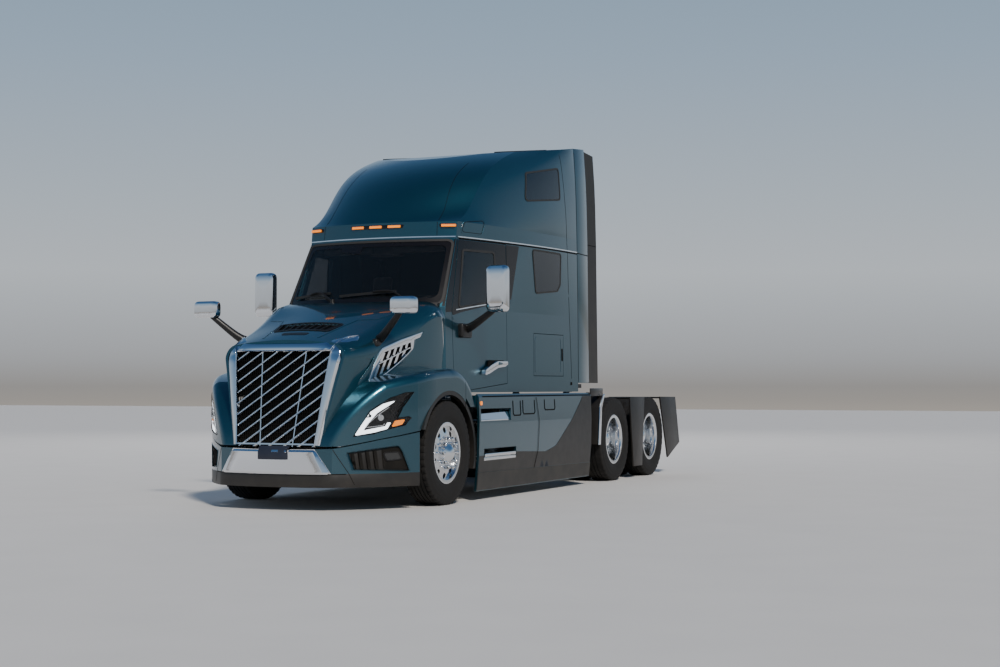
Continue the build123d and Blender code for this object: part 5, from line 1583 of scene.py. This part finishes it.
def pads():
    """Padded seats and the mattress, on their plain bases."""
    lean = Matrix.Translation(at(*SEAT_HINGE)) @ Matrix.Rotation(SEAT_LEAN, 4, "X")
    for side, sign in SIDES.items():
        for name, low_corner, high_corner, soft, leans in SEAT_PADS:
            form = bmesh.new()
            if leans:
                block(form, low_corner, high_corner, soft, 4)
                form.transform(lean)
            else:
                block(form, at(*low_corner), at(*high_corner), soft, 4)
            form = sided(swollen(form, SEAT_CELL, SEAT_SWELL), sign)
            pad = new_piece(f"{name}_{side}", form, "fabric", "tractor", "fabric", 60)
    base = bmesh.new()
    block(base, at(0.330, 1.150, 1.212), at(0.630, 1.450, 1.440), 0.015)
    block(base, at(0.270, 1.100, 1.440), at(0.690, 1.530, 1.512), 0.020)
    for x in (0.400, 0.560):
        tube(base, [at(x, 1.620, 2.150), at(x, 1.665, 2.300)], 0.008, 8, up=(1, 0, 0))
    for x in (0.215, 0.745):
        block(base, at(x - 0.02, 1.300, 1.640), at(x + 0.02, 1.580, 1.680), 0.014)
    on_both("seat_bases", base, "interior", "tractor", "interior", 40, ["seats"])
    form = bmesh.new()
    block(form, at(-1.040, 2.465, 1.785), at(1.040, 3.270, 1.915), 0.035, 4)
    form = swollen(form, MATTRESS_CELL, MATTRESS_SWELL)
    mattress = new_piece("mattress", form, "cushion", "tractor", "cushion", 60, ["bunk"])


def cabin():
    """Dash with its screens and vents, and the sun visors."""
    softened("dashboard", 0.012, "interior", 3)
    form = bmesh.new()
    block(form, at(0.300, 0.735, 1.905), at(0.660, 0.800, 1.985), 0.018)
    block(form, at(-0.180, 0.770, 1.660), at(0.180, 0.842, 1.880), 0.012)
    for x in (-0.780, -0.330, 0.220, 0.720):
        block(form, at(x, 0.800, 1.780), at(x + 0.110, 0.848, 1.850), 0.008)
    new_piece("dash_screens", form, "gloss_black", "tractor")
    form = bmesh.new()
    for sign in (-1, 1):
        block(form, at(sign * 0.42 - 0.30, 0.800, 2.540), at(sign * 0.42 + 0.30, 0.822, 2.640), 0.008)
    block(form, at(-0.180, 0.850, 2.520), at(0.180, 0.980, 2.640), 0.02)
    new_piece("visors", form, "interior", "tractor")


ROUNDINGS = {"frame": 0.003, "suspension": 0.005, "front_axle": 0.006, "deck_plate": 0.003,
             "fifth_wheel_base": 0.006, "fifth_wheel_plate": 0.006, "side_extenders": 0.006,
             "bumper_valance": 0.004, "drive_fairings": 0.004, "cab_steps": 0.004}
RAIL_X, CHAMBER_X, CHAMBER_Z = 0.432, 0.515, 0.640
TREAD_ROWS, TREAD_MARKS, TREAD_STEP = 11, 20, 0.055


def rail_bolts():
    """Two rows of bolts along each frame rail, and the springs' bolts at the drive axles."""
    form = bmesh.new()
    spots = [at(RAIL_X, 3.95 + 0.26 * i, z) for i in range(11) for z in (0.775, 0.955)]
    bolts(form, spots, (1, 0, 0), 0.013, 0.012)
    for y in DRIVE_Y.values():
        spots = [Vector((RAIL_X, y + shift, z)) for shift in (-0.42, -0.30, 0.22, 0.34) for z in (0.83, 0.90)]
        bolts(form, spots, (1, 0, 0), 0.015, 0.014)
    on_both("rail_bolts", form, "cast", "tractor")


def brake_chambers():
    """Double brake chambers with their clamp rings ahead of the drive axles."""
    form = bmesh.new()
    turn = Matrix.Rotation(math.pi / 2, 4, "X")
    for y in DRIVE_Y.values():
        for shift, radius in ((-0.235, 0.080), (-0.150, 0.074)):
            place = Matrix.Translation((CHAMBER_X, y + shift, CHAMBER_Z)) @ turn
            disc(form, place, radius, 0.075, radius * 0.94)
        disc(form, Matrix.Translation((CHAMBER_X, y - 0.192, CHAMBER_Z)) @ turn, 0.085, 0.014)
        block(form, (0.470, y - 0.112, 0.560), (0.560, y - 0.060, 0.700), 0.006)
    on_both("brake_chambers", form, "chassis", "tractor")


def deck_tread():
    """Raised marks of the deck plate, crossing by turns."""
    form = bmesh.new()
    flat = Matrix.Diagonal((0.040, 0.014, 0.004, 1))
    for row in range(TREAD_ROWS):
        for number in range(TREAD_MARKS):
            x = -0.52 + 0.0545 * number + (0.027 if row % 2 else 0.0)
            spot = at(x, 3.455 + TREAD_STEP * row, 1.0305)
            turn = Matrix.Rotation(math.radians(45 if (row + number) % 2 else -45), 4, "Z")
            disc(form, Matrix.Translation(spot) @ turn @ flat, 0.5, 1.0, 0.34, 4)
    new_piece("deck_tread", form, "brushed", "tractor", "aluminium")


def chassis():
    """Rounded steel, bolts, brake chambers and deck tread."""
    for node, width in ROUNDINGS.items():
        softened(node, width)
    rail_bolts()
    brake_chambers()
    deck_tread()


CHANNEL_SECTION = [(-0.010, -0.001), (-0.007, 0.0015), (0.007, 0.0015), (0.010, -0.001)]
REAR_SLOPE_Y = 5.3                  # behind this the plate's top slopes down


def coupling():
    """Grease channels, bolts and the release bar of the fifth wheel."""
    _, plate_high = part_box("fifth_wheel_plate")
    top = plate_high.z
    form = bmesh.new()
    for sign in (-1, 1):
        path = curved([at(sign * 0.14, 4.70, top), at(sign * 0.30, 4.84, top), at(sign * 0.33, 5.05, top),
                       at(sign * 0.26, 5.25, top)], 6)
        swept(form, path, CHANNEL_SECTION)
    for x, y in ((0.40, 4.78), (0.43, 5.18), (0.24, 4.64), (0.20, 5.50), (0.30, 5.42)):
        for sign in (-1, 1):
            spot = at(sign * x, y, top - (0.010 if y > REAR_SLOPE_Y else 0.0))
            bolts(form, [spot], (0, 0, 1), 0.014, 0.006)
    bar = [at(0.05, 4.80, top - 0.065), at(0.30, 4.82, top - 0.065), at(0.52, 4.84, top - 0.068)]
    swept(form, bar, circle(0.010, 10))
    new_piece("coupling_details", form, "cast", "fifth_wheel")


BACK_BEADS = (0.20, 0.46, 0.72, 0.98)
BACK_GRILLE = [(0.60, 1.14), (1.00, 1.14), (1.00, 1.30), (0.60, 1.30)]
BACK_GRILLE_RIM = [(0.62, 1.16), (0.98, 1.16), (0.98, 1.28), (0.62, 1.28)]


def tail():
    """Round red lamps, clear reversing lamps and a blank plate on the rear beam; the cab's back."""
    low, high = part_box("tail_lamps")
    face, middle_z = high.y, (low.z + high.z) / 2
    turn = Matrix.Rotation(-math.pi / 2, 4, "X")
    lens, rims, clear = bmesh.new(), bmesh.new(), bmesh.new()
    for x, form in ((0.215, lens), (0.345, lens), (0.475, clear)):
        for sign in (-1, 1):
            place = Matrix.Translation((sign * x, face, middle_z)) @ turn
            disc(rims, place, 0.056, 0.008, 0.053, 32)
            disc(form, place, 0.048, 0.022, 0.040, 32)
    new_piece("tail_lens", lens, "red_lamp", "tractor")
    new_piece("tail_clear", clear, "lens_white", "tractor", "lamp")
    block(rims, (-0.155, face - 0.001, middle_z - 0.055), (0.155, face + 0.004, middle_z + 0.055), 0.002)
    new_piece("tail_rims", rims, "gloss_black", "tractor")
    softened("tail_lamps", 0.006, "chassis")
    backs = Skin("sleeper_shell", "roof")
    parts = []
    for x in BACK_BEADS:
        parts.append(("line", [(x, 1.35), (x, 2.60)], 0.045, 0.008, 0))
        parts.append(("line", [(x, 2.76), (x, 3.66)], 0.045, 0.008, 0))
    on_both("back_ribs", laid(backs, "back", parts, TRIM_SINK), "paint", "tractor")
    parts = [("patch", BACK_GRILLE, 0.002, 0.008, 0.02), ("loop", BACK_GRILLE_RIM, 0.012, 0.012, 0.02)]
    on_both("back_grilles", laid(backs, "back", parts, TRIM_SINK), "black_plastic", "tractor")
    form = bmesh.new()
    for sign in (-1, 1):
        rail = [at(sign * 0.86, y, z) for y, z in ((3.352, 1.55), (3.400, 1.58), (3.405, 2.00), (3.400, 2.42),
                                                   (3.352, 2.45))]
        tube(form, curved(rail, 4), 0.014, 10, up=(1, 0, 0))
        block(form, at(sign * 0.55 - 0.06, 3.352, 3.60), at(sign * 0.55 + 0.06, 3.410, 3.68), 0.01)
    new_piece("grab_rails", form, "bright", "tractor", "aluminium")


pads()
cabin()
chassis()
coupling()
tail()
